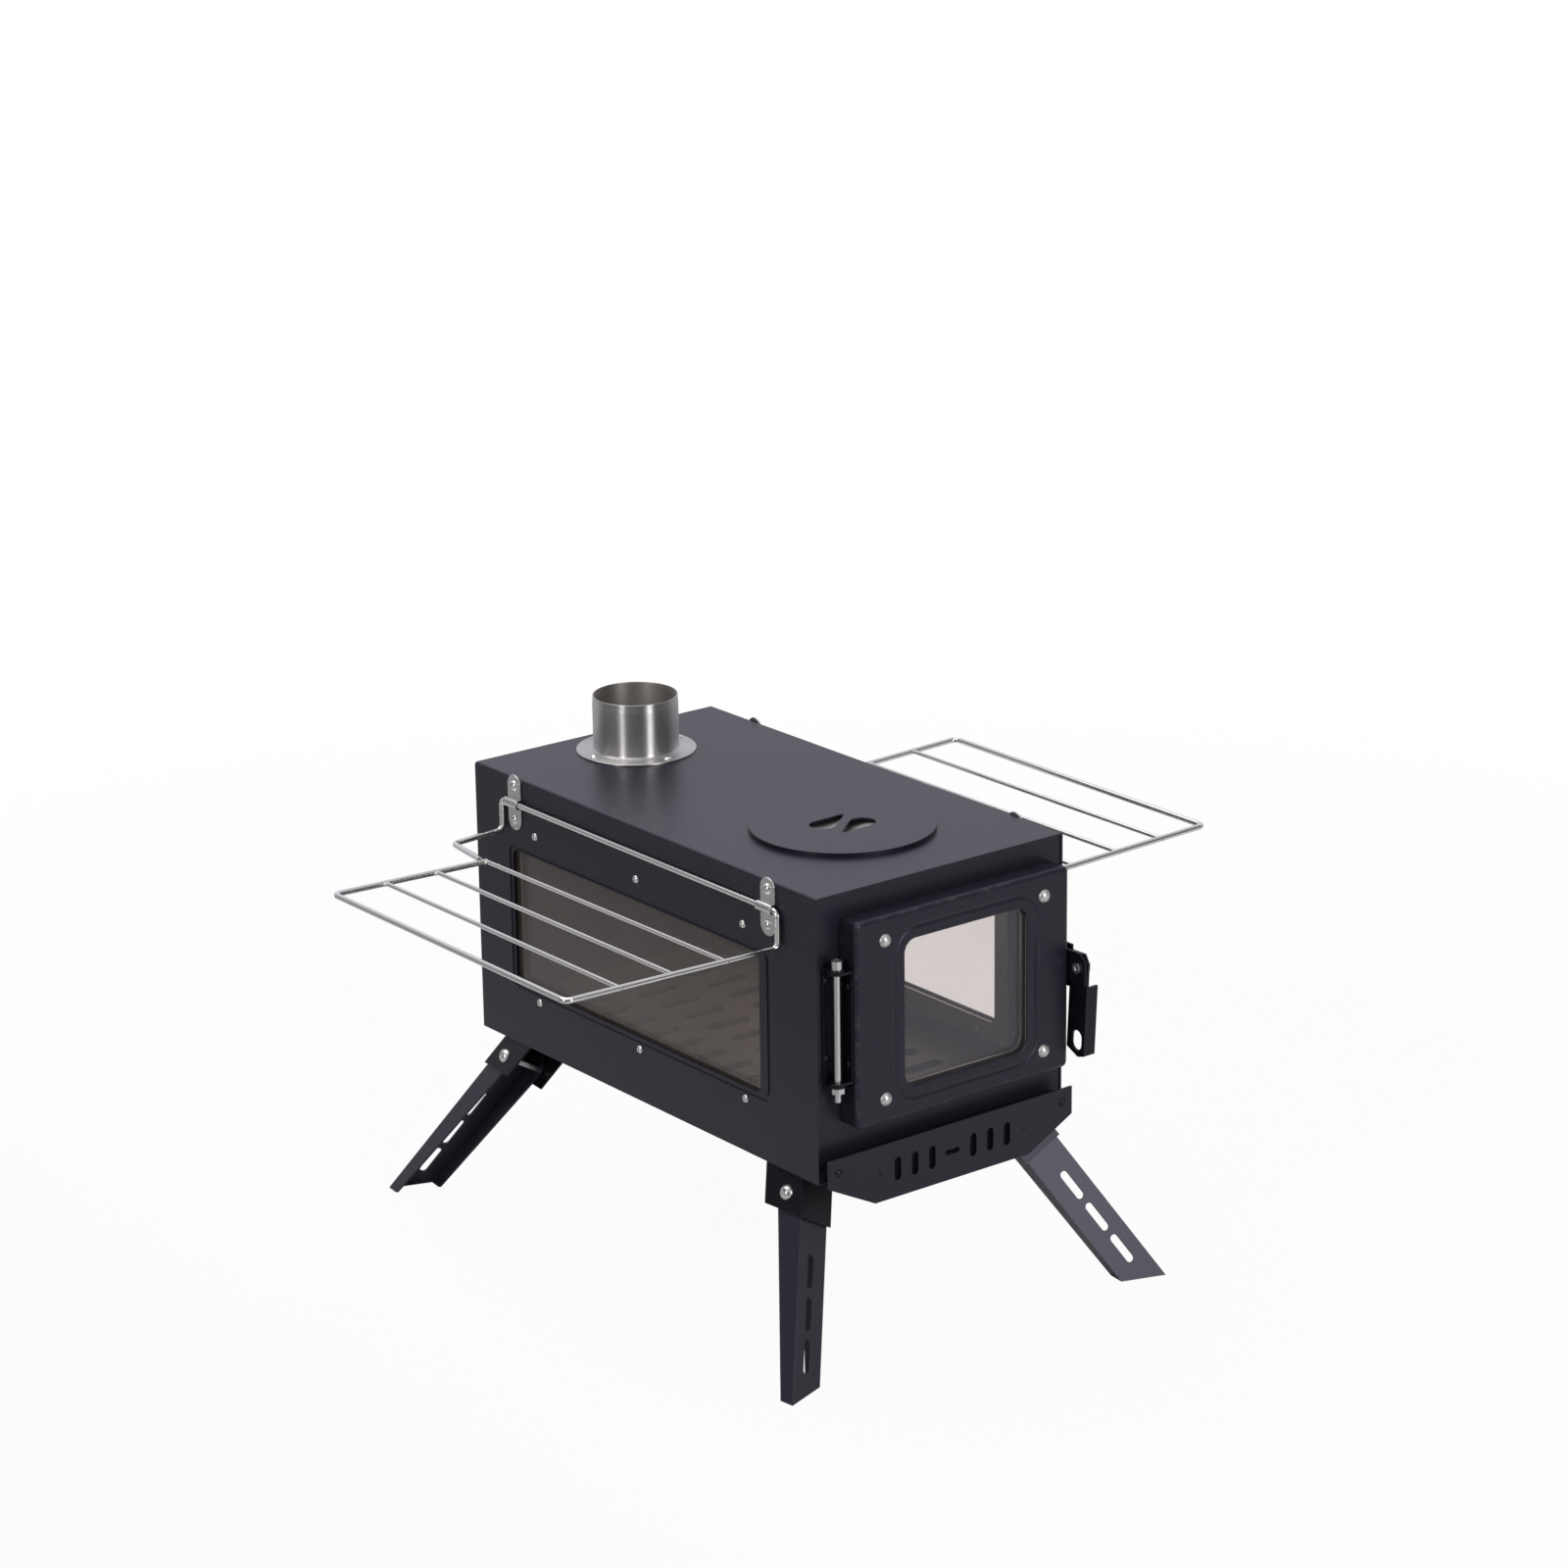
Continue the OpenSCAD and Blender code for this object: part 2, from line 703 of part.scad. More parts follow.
// The left rack's frame: shelf sides, outer wire, rod and the tail that returns to the shelf
module rack(s) {
    out_x = -side_x - rack_reach;
    rear = clip_ys[1] + clip_w / 2 + 5.5;
    bend = 4.5;
    tail_rise = 2.5;
    tail_in = 5;
    tail_drop_z = shelf_z + 1;
    tail_x = rod_x - bar_step - 0.3;
    tail_z = back_z(tail_x) + tail_rise;
    end_gap = 0.3;
    color(bright_steel) on_side(s) {
        wire([
            [tail_x + end_gap, rack_back, back_z(tail_x + end_gap)],
            [out_x, rack_back, shelf_z],
            [out_x, rack_front, shelf_z],
            [rod_x, drop_front, shelf_z - rack_fall_front],
            [rod_x, drop_front, rod_z],
            [rod_x, rear, rod_z],
            [rod_x, rear, tail_drop_z],
            [tail_x, rear, tail_z],
            [tail_x - tail_in, rack_back, tail_z],
        ], bend, rack_wire_d);
    }
}

// The cross wires, butt-welded between the frame's side wires
module rack_bars(s) {
    weld_in = 0.5;
    short = rack_wire_d / 2 - weld_in;
    color(bright_steel) on_side(s) for (i = [1 : cross_wires]) {
        x = rod_x - i * bar_step;
        front = drop_front + rack_skew * way_out(x) + short;
        wire_run([x, front, front_z(x)], [x, rack_back - short, back_z(x)], cross_wire_d);
    }
}

// ---------- air control ----------

air_groups = 3;
air_middle = 17.5;
air_slot_drop = 19.5;
air_chamfer = 38;
air_rivet_inset = 8;
air_rivet_drop = 10;
air_cover_t = 1.5;
air_y = panel_y - air_gap;
air_mid_z = base_z + air_top - air_slot_drop;
air_guide_x = air_middle + air_groups * air_pitch;
stud_r = 1.4;
guide_r = 1.5;
stud_slot_w = 2 * stud_r + 0.6;
slider_t = 1.2;
slider_back = air_y + slip_gap;
slider_past_guide = 12;
slider_w = 2 * (air_guide_x + slider_past_guide);
slider_h = 22;

// X of each air slot
air_slot_xs = [for (s = [-1, 1], i = [0 : air_groups - 1]) s * (air_middle + i * air_pitch)];

module air_cover() {
    x = side_x;
    lower = air_top - air_h;
    corner = air_top - air_slot_drop;
    color(paint) difference() {
        translate([0, 0, base_z]) stand_xz(air_y - air_cover_t, air_cover_t) difference() {
            polygon([
                [-x, air_top], [x, air_top], [x, corner], [x - air_chamfer, lower],
                [-x + air_chamfer, lower], [-x, corner],
            ]);
            translate([0, corner]) {
                for (u = air_slot_xs) translate([u, 0]) rotate(90) slot(air_slot_h, air_slot_w);
                slot(air_travel + stud_slot_w, stud_slot_w);
                for (s = [-1, 1]) translate([s * air_guide_x, 0]) circle(guide_r + run_fit);
            }
        }
        air_rivet_places() translate([0, 0, -cut])
            cylinder(h = air_cover_t + 2 * cut, d = rivet_hole_d);
    }
}

// Places of the cover's end rivets, on its back face, with Z to the front
module air_rivet_places() {
    for (s = [-1, 1])
        translate([s * (side_x - air_rivet_inset), air_y, base_z + air_top - air_rivet_drop])
            rotate([90, 0, 0]) children();
}

module air_cover_spacers() {
    color(dark_paint) air_rivet_places() translate([0, 0, -air_gap]) difference() {
        cylinder(h = air_gap, d = 9);
        translate([0, 0, -cut]) cylinder(h = air_gap + 2 * cut, d = rivet_hole_d);
    }
}

module air_cover_rivets() {
    color(dark_paint) air_rivet_places() translate([0, 0, air_cover_t])
        rivet(6, 1.5, rivet_d, air_cover_t + air_gap + sheet_t);
}

// Shouldered pins that carry the slider behind the cover
module air_guides() {
    depth = slip_gap * 2 + slider_t;
    color(dark_paint) for (s = [-1, 1])
        translate([s * air_guide_x, 0, air_mid_z]) {
            bar_y(air_y - air_cover_t, air_y + depth, guide_r);
            bar_y(air_y + depth, air_y + depth + 1, guide_r * 2.6);
        }
}

// The slider, shut at rest: its windows come behind the cover's slots at the end of its travel
module air_slider() {
    color(dark_paint) {
        translate([0, 0, air_mid_z]) stand_xz(slider_back, slider_t) difference() {
            square([slider_w, slider_h], center = true);
            for (u = air_slot_xs) translate([u - air_travel, 0]) rotate(90)
                slot(air_slot_h + 1, air_slot_w + 1);
            for (s = [-1, 1]) translate([s * air_guide_x - air_travel / 2, 0])
                slot(air_travel + 2 * guide_r + 2 * slip_gap, 2 * (guide_r + slip_gap));
        }
        translate([-air_travel / 2, 0, air_mid_z])
            bar_y(slider_back + eps, air_y - air_cover_t - 1.2, stud_r);
    }
}

// ---------- hinge ----------

door_left = door_x - door_w / 2;
door_right = door_x + door_w / 2;
door_gap = 0.5;
door_back = panel_y - door_gap;
door_face = door_back - door_d;
hinge_gap = 9.3;
hinge_x = door_left - hinge_gap;
hinge_y = panel_y - hinge_pin_out;
hinge_z0 = door_mid_z - hinge_h / 2;
hinge_z1 = door_mid_z + hinge_h / 2;
ear_r = 5;
hinge_base_w = 12;
hinge_rivet_gap = 53;
hinge_rivet_in = 3.4;
hinge_rivet_up = 4.8;

// A round-ended ear about the hinge bolt, from the bolt to a side at the given place
module hinge_ear(z, to_wall) {
    translate([hinge_x, hinge_y, z]) linear_extrude(bracket_t) difference() {
        union() {
            circle(ear_r);
            if (to_wall) translate([-ear_r, 0]) square([2 * ear_r, hinge_pin_out]);
            else translate([0, -ear_r]) square([hinge_gap, 2 * ear_r]);
        }
        circle(hinge_pin_d / 2 + run_fit);
    }
}

module hinge_body_rivet_places() {
    for (s = [-1, 1])
        translate([hinge_x - hinge_rivet_in, panel_y,
            door_mid_z + hinge_rivet_up + s * hinge_rivet_gap / 2]) rotate([90, 0, 0]) children();
}

module hinge_body_bracket() {
    color(dark_paint) difference() {
        union() {
            translate([hinge_x - hinge_base_w / 2, panel_y - bracket_t, hinge_z0])
                cube([hinge_base_w, bracket_t, hinge_h]);
            hinge_ear(hinge_z0, true);
            hinge_ear(hinge_z1 - bracket_t, true);
        }
        hinge_body_rivet_places() translate([0, 0, -cut])
            cylinder(h = bracket_t + 2 * cut, d = rivet_hole_d);
    }
}

module hinge_body_rivets() {
    color(dark_paint) hinge_body_rivet_places() translate([0, 0, bracket_t])
        rivet(4.6, 1.2, rivet_d, bracket_t + sheet_t);
}

module hinge_pin() {
    head_h = 6;
    tail = 10;
    color(bright_steel) translate([hinge_x, hinge_y, hinge_z1]) {
        difference() {
            cylinder(h = head_h, d = hinge_pin_d * 1.65);
            translate([0, 0, head_h * 0.45]) cylinder(h = head_h, d = hinge_pin_d * 0.9, $fn = 6);
        }
        translate([0, 0, -hinge_h - tail]) cylinder(h = hinge_h + tail + eps, d = hinge_pin_d);
    }
}

module hinge_nut() {
    color(bright_steel) translate([hinge_x, hinge_y, hinge_z0 - 4])
        hex_nut(8, 4, hinge_pin_d);
}

module hinge_door_rivet_places() {
    for (s = [-1, 1])
        translate([door_left, hinge_y, door_mid_z + s * hinge_rivet_gap / 2])
            rotate([0, -90, 0]) children();
}

module hinge_door_bracket() {
    inner0 = hinge_z0 + bracket_t + slip_gap;
    inner1 = hinge_z1 - bracket_t - slip_gap;
    color(dark_paint) difference() {
        union() {
            translate([door_left - bracket_t, hinge_y - ear_r, inner0])
                cube([bracket_t, 2 * ear_r, inner1 - inner0]);
            hinge_ear(inner0, false);
            hinge_ear(inner1 - bracket_t, false);
        }
        hinge_door_rivet_places() translate([0, 0, -cut])
            cylinder(h = bracket_t + 2 * cut, d = rivet_hole_d);
    }
}

module hinge_door_rivets() {
    color(dark_paint) hinge_door_rivet_places() translate([0, 0, bracket_t])
        rivet(5.5, 1, rivet_d, bracket_t + sheet_t);
}

// ---------- door ----------

door_t = 1.5;
door_bend = 3;
door_corner = 4;
seal_w = 9;
seal_gap = 0.3;

// The door's outer form, less a skin of the given thickness; Y runs from its back to its face
module door_form(skin) {
    w = door_w - 2 * skin;
    h = door_h - 2 * skin;
    d = door_d - skin;
    r = door_bend - skin;
    back = door_back + (skin > 0 ? cut : 0);
    depth = d + (skin > 0 ? cut : 0);
    translate([door_x, 0, door_mid_z]) intersection() {
        stand_xz(back - depth, depth) round_rect(w, h, door_corner - skin);
        translate([0, back, -h / 2]) linear_extrude(h) mirror([0, 1]) shell_outline(w, depth, r);
        translate([-w / 2, back, 0]) rotate([90, 0, 90]) linear_extrude(w) rotate(90)
            shell_outline(h, depth, r);
    }
}

module door_screw_places() {
    for (x = [-1, 1], z = [-1, 1])
        translate([door_x + door_win_x / 2 + x * door_screw_w / 2, door_face,
            door_mid_z + z * door_screw_h / 2]) rotate([90, 0, 0]) children();
}

door_screw_d = 4;
door_hole_d = door_screw_d + 2 * run_fit;
door_groove_gap = 7;

module door_pan() {
    color(paint) difference() {
        door_form(0);
        door_form(door_t);
        translate([door_x + door_win_x, 0, door_mid_z]) {
            stand_xz(door_face - cut, door_t + 2 * cut) round_rect(door_win_w, door_win_h, door_win_r);
            stand_xz(door_face - cut, groove_d + cut) difference() {
                round_rect(door_win_w + 2 * (door_groove_gap + groove_w),
                    door_win_h + 2 * (door_groove_gap + groove_w), door_win_r + groove_w + 2);
                round_rect(door_win_w + 2 * door_groove_gap, door_win_h + 2 * door_groove_gap,
                    door_win_r + 2);
            }
        }
        door_screw_places() translate([0, 0, -door_t - cut])
            cylinder(h = door_t + 2 * cut, d = door_hole_d);
        hinge_door_rivet_places() translate([0, 0, -door_t - cut])
            cylinder(h = door_t + 2 * cut, d = rivet_hole_d);
        latch_rivet_places() translate([0, 0, -door_t - cut])
            cylinder(h = door_t + 2 * cut, d = rivet_hole_d);
    }
}

door_inner_y = door_face + door_t;
door_glass_lap = 8;

module door_glass_sheet(y, t, hole) {
    translate([door_x + door_win_x, 0, door_mid_z]) stand_xz(y, t) difference() {
        round_rect(door_win_w + 2 * door_glass_lap, door_win_h + 2 * door_glass_lap, door_win_r);
        if (hole) round_rect(door_win_w + 2, door_win_h + 2, door_win_r);
    }
}

module door_glass_gasket() {
    color(fibre) door_glass_sheet(door_inner_y, gasket_t, true);
}

module door_glass() {
    color(smoked_glass) door_glass_sheet(door_inner_y + gasket_t, glass_t, false);
}

module door_glass_frame() {
    y = door_inner_y + gasket_t + glass_t;
    color(steel) difference() {
        translate([door_x + door_win_x / 2, 0, door_mid_z]) stand_xz(y, clamp_t)
            round_rect(door_screw_w + 10, door_screw_h + 12, 4);
        translate([door_x + door_win_x, 0, door_mid_z]) stand_xz(y - cut, clamp_t + 2 * cut)
            round_rect(door_win_w, door_win_h, door_win_r);
        door_screw_places() translate([0, 0, -door_d]) cylinder(h = door_d, d = door_hole_d);
    }
}

module door_screws() {
    nut_h = 3;
    grip = door_t + gasket_t + glass_t + clamp_t;
    color(bright_steel) door_screw_places() {
        dome_screw(9.4, 3, door_screw_d, grip + nut_h + 0.5, 0.1);
        translate([0, 0, -grip - nut_h]) hex_nut(7, nut_h, door_screw_d);
    }
}

// The rope seal that lies against the inside of the door's sides
module door_gasket() {
    depth = 4;
    w = door_w - 2 * door_t;
    h = door_h - 2 * door_t;
    color(fibre) translate([door_x, 0, door_mid_z])
        stand_xz(panel_y - seal_gap - depth, depth) difference() {
            round_rect(w, h, door_corner - door_t);
            round_rect(w - 2 * seal_w, h - 2 * seal_w, door_corner);
        }
}

// ---------- latch ----------

latch_mid_z = base_z + latch_z;
latch_y = panel_y - latch_out;
latch_bolt_r = 2.5;
latch_washer = 1.1;
latch_x = door_right + bracket_t + latch_washer + slip_gap;
latch_above = 10;
latch_front = 7;
latch_rear = 10;
latch_tilt = 3.2;
bracket_front = 7.5;
bracket_above = 10.5;
bracket_below = 11;
latch_rivet_back = 9;

module latch_rivet_places() {
    for (s = [-1, 1])
        translate([door_right, panel_y - latch_rivet_back, latch_mid_z + s * 6])
            rotate([0, 90, 0]) children();
}

module latch_bracket() {
    y0 = latch_y - bracket_front;
    y1 = door_back - 3;
    color(dark_paint) difference() {
        translate([0, 0, latch_mid_z]) stand_yz(door_right, bracket_t) difference() {
            polygon([
                [y0, -bracket_below], [y1, -bracket_below], [y1, bracket_above],
                [y0 + 5, bracket_above], [y0, bracket_above - 5],
            ]);
            translate([latch_y, 0]) circle(latch_bolt_r + run_fit);
        }
        latch_rivet_places() translate([0, 0, -cut])
            cylinder(h = bracket_t + 2 * cut, d = rivet_hole_d);
    }
}

module latch_rivets() {
    color(dark_paint) latch_rivet_places() translate([0, 0, bracket_t])
        rivet(5, 0.9, rivet_d, bracket_t + door_t);
}

// The latch bolt, with its round head inside, a washer and a nut outside
module latch_bolt() {
    out = latch_x + latch_t + slip_gap;
    color(bright_steel) translate([0, latch_y, latch_mid_z]) {
        difference() {
            bar_x(door_right - 1.6, door_right, 3.6);
            bar_x(door_right - 1.6 - cut, door_right - 0.8, 1.6);
        }
        bar_x(door_right - eps, out + 3.5, latch_bolt_r);
        bar_x(door_right + bracket_t, door_right + bracket_t + latch_washer, 4.5);
        translate([out, 0, 0]) rotate([0, 90, 0]) cylinder(h = 3, d = 8 / cos(30), $fn = 6);
    }
}

latch_slot_z = 52.5;
latch_slot_y = 0.5;
latch_grip_h = 49;
latch_arm_drop = 6.5;
latch_arm_h = 6;
keeper_pin_r = 2;
keeper_pin_y = panel_y - 8;
latch_hole_l = 14;
latch_hole_w = 9.5;

// The hanging handle, its catch arm to the back and its finger flange in front
module latch_handle() {
    low = latch_above - latch_h;
    arm_end = latch_out - bracket_t - 0.8;
    arm_low = -latch_arm_drop - latch_arm_h;
    grip_z = low + 2;
    color(dark_paint) translate([0, latch_y, latch_mid_z]) {
        rotate([latch_tilt, 0, 0]) {
            stand_yz(latch_x, latch_t) difference() {
                polygon([
                    [-latch_front, grip_z], [-latch_front + 6, low], [latch_rear, low + 4.5],
                    [latch_rear, latch_above - 1],
                    [-latch_front + 4, latch_above], [-latch_front, latch_above - 6],
                ]);
                circle(latch_bolt_r + run_fit);
                translate([latch_slot_y, -latch_slot_z]) rotate(90) slot(latch_hole_l, latch_hole_w);
            }
            translate([latch_x, -latch_front, grip_z])
                cube([latch_t + latch_grip_w, latch_t, latch_grip_h]);
        }
        stand_yz(latch_x, latch_t) polygon([
            [latch_rear - 3, arm_low], [arm_end, arm_low + 1],
            [arm_end, -latch_arm_drop], [latch_rear - 3, -latch_arm_drop],
        ]);
    }
}

module keeper_rivet_places() {
    for (s = [-1, 1])
        translate([(keeper_foot_x + keeper_x) / 2, panel_y, latch_mid_z + s * 9 - 3])
            rotate([90, 0, 0]) children();
}

keeper_x = latch_x + latch_t + slip_gap + 0.4;
keeper_foot_x = door_right + 0.6;
keeper_h = 30;
keeper_reach = 14;

// The keeper on the front panel: a foot, a wing and the pin over the catch arm
module latch_keeper() {
    low = latch_mid_z - keeper_h / 2 - 3;
    color(dark_paint) difference() {
        union() {
            translate([keeper_foot_x, panel_y - bracket_t, low])
                cube([keeper_x + bracket_t - keeper_foot_x, bracket_t, keeper_h]);
            translate([keeper_x, panel_y - keeper_reach, low])
                cube([bracket_t, keeper_reach, keeper_h]);
            translate([0, keeper_pin_y, latch_mid_z - latch_arm_drop + keeper_pin_r + 0.5])
                bar_x(latch_x - 0.3, keeper_x + eps, keeper_pin_r);
        }
        keeper_rivet_places() translate([0, 0, -cut])
            cylinder(h = bracket_t + 2 * cut, d = rivet_hole_d);
    }
}

module keeper_rivets() {
    color(dark_paint) keeper_rivet_places() translate([0, 0, bracket_t])
        rivet(4.4, 0.6, rivet_d, bracket_t + sheet_t);
}

// ---------- legs ----------

// The bolt's place on the front left leg's outer face, from the body's corner
pivot_in = -2;
pivot_back = 30;
pivot_down = 13.7;
leg_bolt_back = 11.5;
// Spare length that the ground plane trims off each leg
leg_spare = 20;
leg_gap = 0.4;
leg_up_run = 14;
ear_back = 17.5;
bracket_drop_front = 18.6;
bracket_drop_back = 5;
leg_slot_out = 1.2;
leg_slot_pitch = 28;
leg_first_slot = 51;
leg_angles = [-leg_lean, leg_splay, leg_turn];
bracket_rivet_in = 21;
bracket_rivet_back = [38, 50];
bracket_plate_t = 2;

// Repeats the front left corner's form at the corner with signs sx and sy
module at_corner(sx, sy) {
    mirror([sx > 0 ? 1 : 0, 0, 0]) mirror([0, sy > 0 ? 1 : 0, 0]) children();
}

// The frame of the front left leg: X along its bolt inwards, Y to its open side, Z up the leg
module leg_frame() {
    translate([-side_x + pivot_in, front_y + pivot_back, base_z - pivot_down])
        rotate(leg_angles) children();
}

// Side view of a leg's flange: a rounded head at the bolt and a taper to the foot
module flange_form(length) {
    head_r = leg_depth_top - leg_bolt_back;
    step = 15;
    head = [for (a = [0 : step : 180])
        let (r = head_r + (leg_bolt_back - head_r) * a / 180) [r * cos(a), r * sin(a)]];
    foot_run = leg_clear / cos(leg_lean) / cos(leg_splay);
    slope = (leg_depth_top - leg_depth_foot) / foot_run;
    polygon(concat(head, [
        [-leg_bolt_back, -length],
        [head_r - slope * length, -length],
    ]));
}

module leg(sx, sy) {
    length = leg_clear / cos(leg_lean) / cos(leg_splay) + leg_spare;
    web_top = -3;
    color(paint) at_corner(sx, sy) intersection() {
        leg_frame() difference() {
            union() {
                for (x = [0, leg_w - leg_t]) stand_yz(x, leg_t) flange_form(length);
                translate([0, -leg_bolt_back, -length]) cube([leg_w, leg_t, length + web_top]);
            }
            bar_x(-cut, leg_w + cut, leg_bolt_d / 2 + run_fit);
            for (i = [0 : 2])
                translate([leg_w / 2 - leg_slot_out, 0, -leg_first_slot - i * leg_slot_pitch])
                    stand_xz(-leg_bolt_back - cut, leg_t + 2 * cut) rotate(90)
                        slot(leg_slot_l, leg_slot_w);
        }
        translate([-body_w, -body_l, 0]) cube([body_w, body_l, base_z]);
    }
}

// Side view of a leg bracket's ear
module ear_form(top) {
    front = -leg_bolt_back - leg_gap - bracket_t;
    polygon([
        [front, top], [front, -bracket_drop_front],
        [ear_back, -bracket_drop_back], [ear_back, top],
    ]);
}

module leg_bracket(sx, sy) {
    top = 70;
    outer = -leg_gap - bracket_t;
    width = leg_w + 2 * (leg_gap + bracket_t);
    front = -leg_bolt_back - leg_gap - bracket_t;
    color(dark_paint) at_corner(sx, sy) difference() {
        union() {
            intersection() {
                leg_frame() difference() {
                    stand_yz(outer, width) ear_form(top);
                    translate([outer + bracket_t, front + bracket_t, -top])
                        cube([width - 2 * bracket_t, ear_back - front + cut, 3 * top]);
                }
                translate([-body_w, -body_l, 0]) cube([2 * body_w, body_l, base_z]);
            }
            intersection() {
                leg_frame() stand_yz(outer, width) ear_form(top);
                translate([-body_w, -body_l, base_z - bracket_plate_t])
                    cube([2 * body_w, body_l, bracket_plate_t]);
            }
        }
        leg_frame() bar_x(outer - cut, outer + width + cut, leg_bolt_d / 2 + run_fit);
        corner_rivets() translate([0, 0, -bracket_plate_t - cut])
            cylinder(h = bracket_plate_t + 2 * cut, d = rivet_hole_d);
    }
}

// The bracket rivets of the front left corner, on the body's underside
module corner_rivets() {
    for (y = bracket_rivet_back)
        translate([-side_x + bracket_rivet_in, front_y + y, base_z]) children();
}

module bracket_rivet_places() {
    for (sx = [-1, 1], sy = [-1, 1]) at_corner(sx, sy) corner_rivets() children();
}

module leg_bracket_rivets() {
    color(dark_paint) bracket_rivet_places() translate([0, 0, sheet_t])
        rivet(5.6, 1.2, rivet_d, sheet_t + bracket_plate_t);
}

module leg_bolts() {
    outer = -leg_gap - bracket_t;
    length = leg_w + 2 * (leg_gap + bracket_t) + 7;
    color(bright_steel) for (sx = [-1, 1], sy = [-1, 1]) at_corner(sx, sy) leg_frame()
        translate([outer, 0, 0]) rotate([0, -90, 0]) dome_screw(10.5, 3.2, leg_bolt_d, length, 4);
}

module leg_nuts() {
    inner = leg_w + leg_gap + bracket_t;
    color(bright_steel) for (sx = [-1, 1], sy = [-1, 1]) at_corner(sx, sy) leg_frame()
        translate([inner, 0, 0]) rotate([0, 90, 0]) hex_nut(10, 5, leg_bolt_d);
}

// ---------- what is drawn ----------

top_plate();
side_wall(-1);  // side_wall_left
side_wall(1);  // side_wall_right
front_panel();
back_panel();
floor_panel();
grate();
flue_collar();
flue_rivets();
lid_plate();
lid_ring();
lid_cup();
side_glass(-1);  // side_glass_left
side_glass(1);  // side_glass_right
side_gasket(-1);  // side_gasket_left
side_gasket(1);  // side_gasket_right
side_clamp(-1);  // side_clamp_left
side_clamp(1);  // side_clamp_right
window_screws();
rack_clips();
rack_clip_screws();
rack(-1);  // rack_left
rack(1);  // rack_right
rack_bars(-1);  // rack_bars_left
rack_bars(1);  // rack_bars_right
air_cover();
air_cover_spacers();
air_cover_rivets();
air_guides();
air_slider();
hinge_body_bracket();
hinge_body_rivets();
hinge_pin();
hinge_nut();
latch_keeper();
keeper_rivets();
door_pan();
door_gasket();
door_glass();
door_glass_gasket();
door_glass_frame();
door_screws();
hinge_door_bracket();
hinge_door_rivets();
latch_bracket();
latch_rivets();
latch_bolt();
latch_handle();
leg_bracket(-1, -1);  // leg_bracket_front_left
leg_bracket(1, -1);  // leg_bracket_front_right
leg_bracket(-1, 1);  // leg_bracket_back_left
leg_bracket(1, 1);  // leg_bracket_back_right
leg_bracket_rivets();
leg_bolts();
leg_nuts();
leg(-1, -1);  // leg_front_left
leg(1, -1);  // leg_front_right
leg(-1, 1);  // leg_back_left
leg(1, 1);  // leg_back_right
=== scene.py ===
"""Looks of the tent wood stove: painted sheet steel, polished collar, wire racks and smoked glass.

X runs to the right seen from the door, Y to the back, Z up from the ground, all in metres.
"""

import json
import math

import bmesh
import bpy
from mathutils import Matrix, Vector


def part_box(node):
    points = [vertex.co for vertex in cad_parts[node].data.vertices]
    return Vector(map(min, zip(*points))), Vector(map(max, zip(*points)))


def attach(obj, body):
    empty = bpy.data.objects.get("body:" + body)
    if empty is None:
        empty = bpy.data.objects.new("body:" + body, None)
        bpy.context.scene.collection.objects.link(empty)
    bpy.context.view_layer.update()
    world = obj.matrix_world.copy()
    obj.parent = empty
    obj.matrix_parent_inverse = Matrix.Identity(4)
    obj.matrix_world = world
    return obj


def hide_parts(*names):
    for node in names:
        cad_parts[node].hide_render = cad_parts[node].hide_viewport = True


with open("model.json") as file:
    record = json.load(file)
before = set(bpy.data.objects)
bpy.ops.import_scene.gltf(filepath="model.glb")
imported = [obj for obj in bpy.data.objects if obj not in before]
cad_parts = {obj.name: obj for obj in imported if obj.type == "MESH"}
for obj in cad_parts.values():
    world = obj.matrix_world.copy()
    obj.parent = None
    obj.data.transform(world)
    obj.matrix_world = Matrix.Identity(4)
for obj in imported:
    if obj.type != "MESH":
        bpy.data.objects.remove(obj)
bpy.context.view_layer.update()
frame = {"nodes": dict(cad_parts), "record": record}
NODES = frame["nodes"]
BODY_OF = {
    node: body
    for body, nodes in frame["record"]["behaviour"]["bodies"].items()
    for node in nodes
}
MM = 0.001
SAME_POINT = 2e-6  # points nearer than this, in metres, are one point


# ---------- camera ----------

# Fitted to the photograph's straight edges; the lens and sensor are in millimetres
CAMERA_AT = Vector((-1.7845, -2.327, 1.263))
CAMERA_YAW = math.radians(37.79)
CAMERA_DOWN = math.radians(17.73)
CAMERA_ROLL = math.radians(-0.78)
LENS = 104.9
SENSOR = 36.0
CAMERA_REACH = 50


def photo_camera():
    """The camera where the photographer stood, looking down on the stove from its front left."""
    ahead = Vector((
        math.sin(CAMERA_YAW) * math.cos(CAMERA_DOWN),
        math.cos(CAMERA_YAW) * math.cos(CAMERA_DOWN),
        -math.sin(CAMERA_DOWN),
    ))
    level = Vector((math.cos(CAMERA_YAW), -math.sin(CAMERA_YAW), 0))
    over = level.cross(ahead)
    right = level * math.cos(CAMERA_ROLL) + over * math.sin(CAMERA_ROLL)
    up = -level * math.sin(CAMERA_ROLL) + over * math.cos(CAMERA_ROLL)
    data = bpy.data.cameras.new("photo_camera")
    data.lens = LENS
    data.sensor_width = SENSOR
    data.clip_end = CAMERA_REACH
    camera = bpy.data.objects.new("photo_camera", data)
    camera.matrix_world = Matrix((
        (right.x, up.x, -ahead.x, CAMERA_AT.x),
        (right.y, up.y, -ahead.y, CAMERA_AT.y),
        (right.z, up.z, -ahead.z, CAMERA_AT.z),
        (0, 0, 0, 1),
    ))
    bpy.context.scene.collection.objects.link(camera)
    bpy.context.scene.camera = camera


# ---------- shader maths ----------


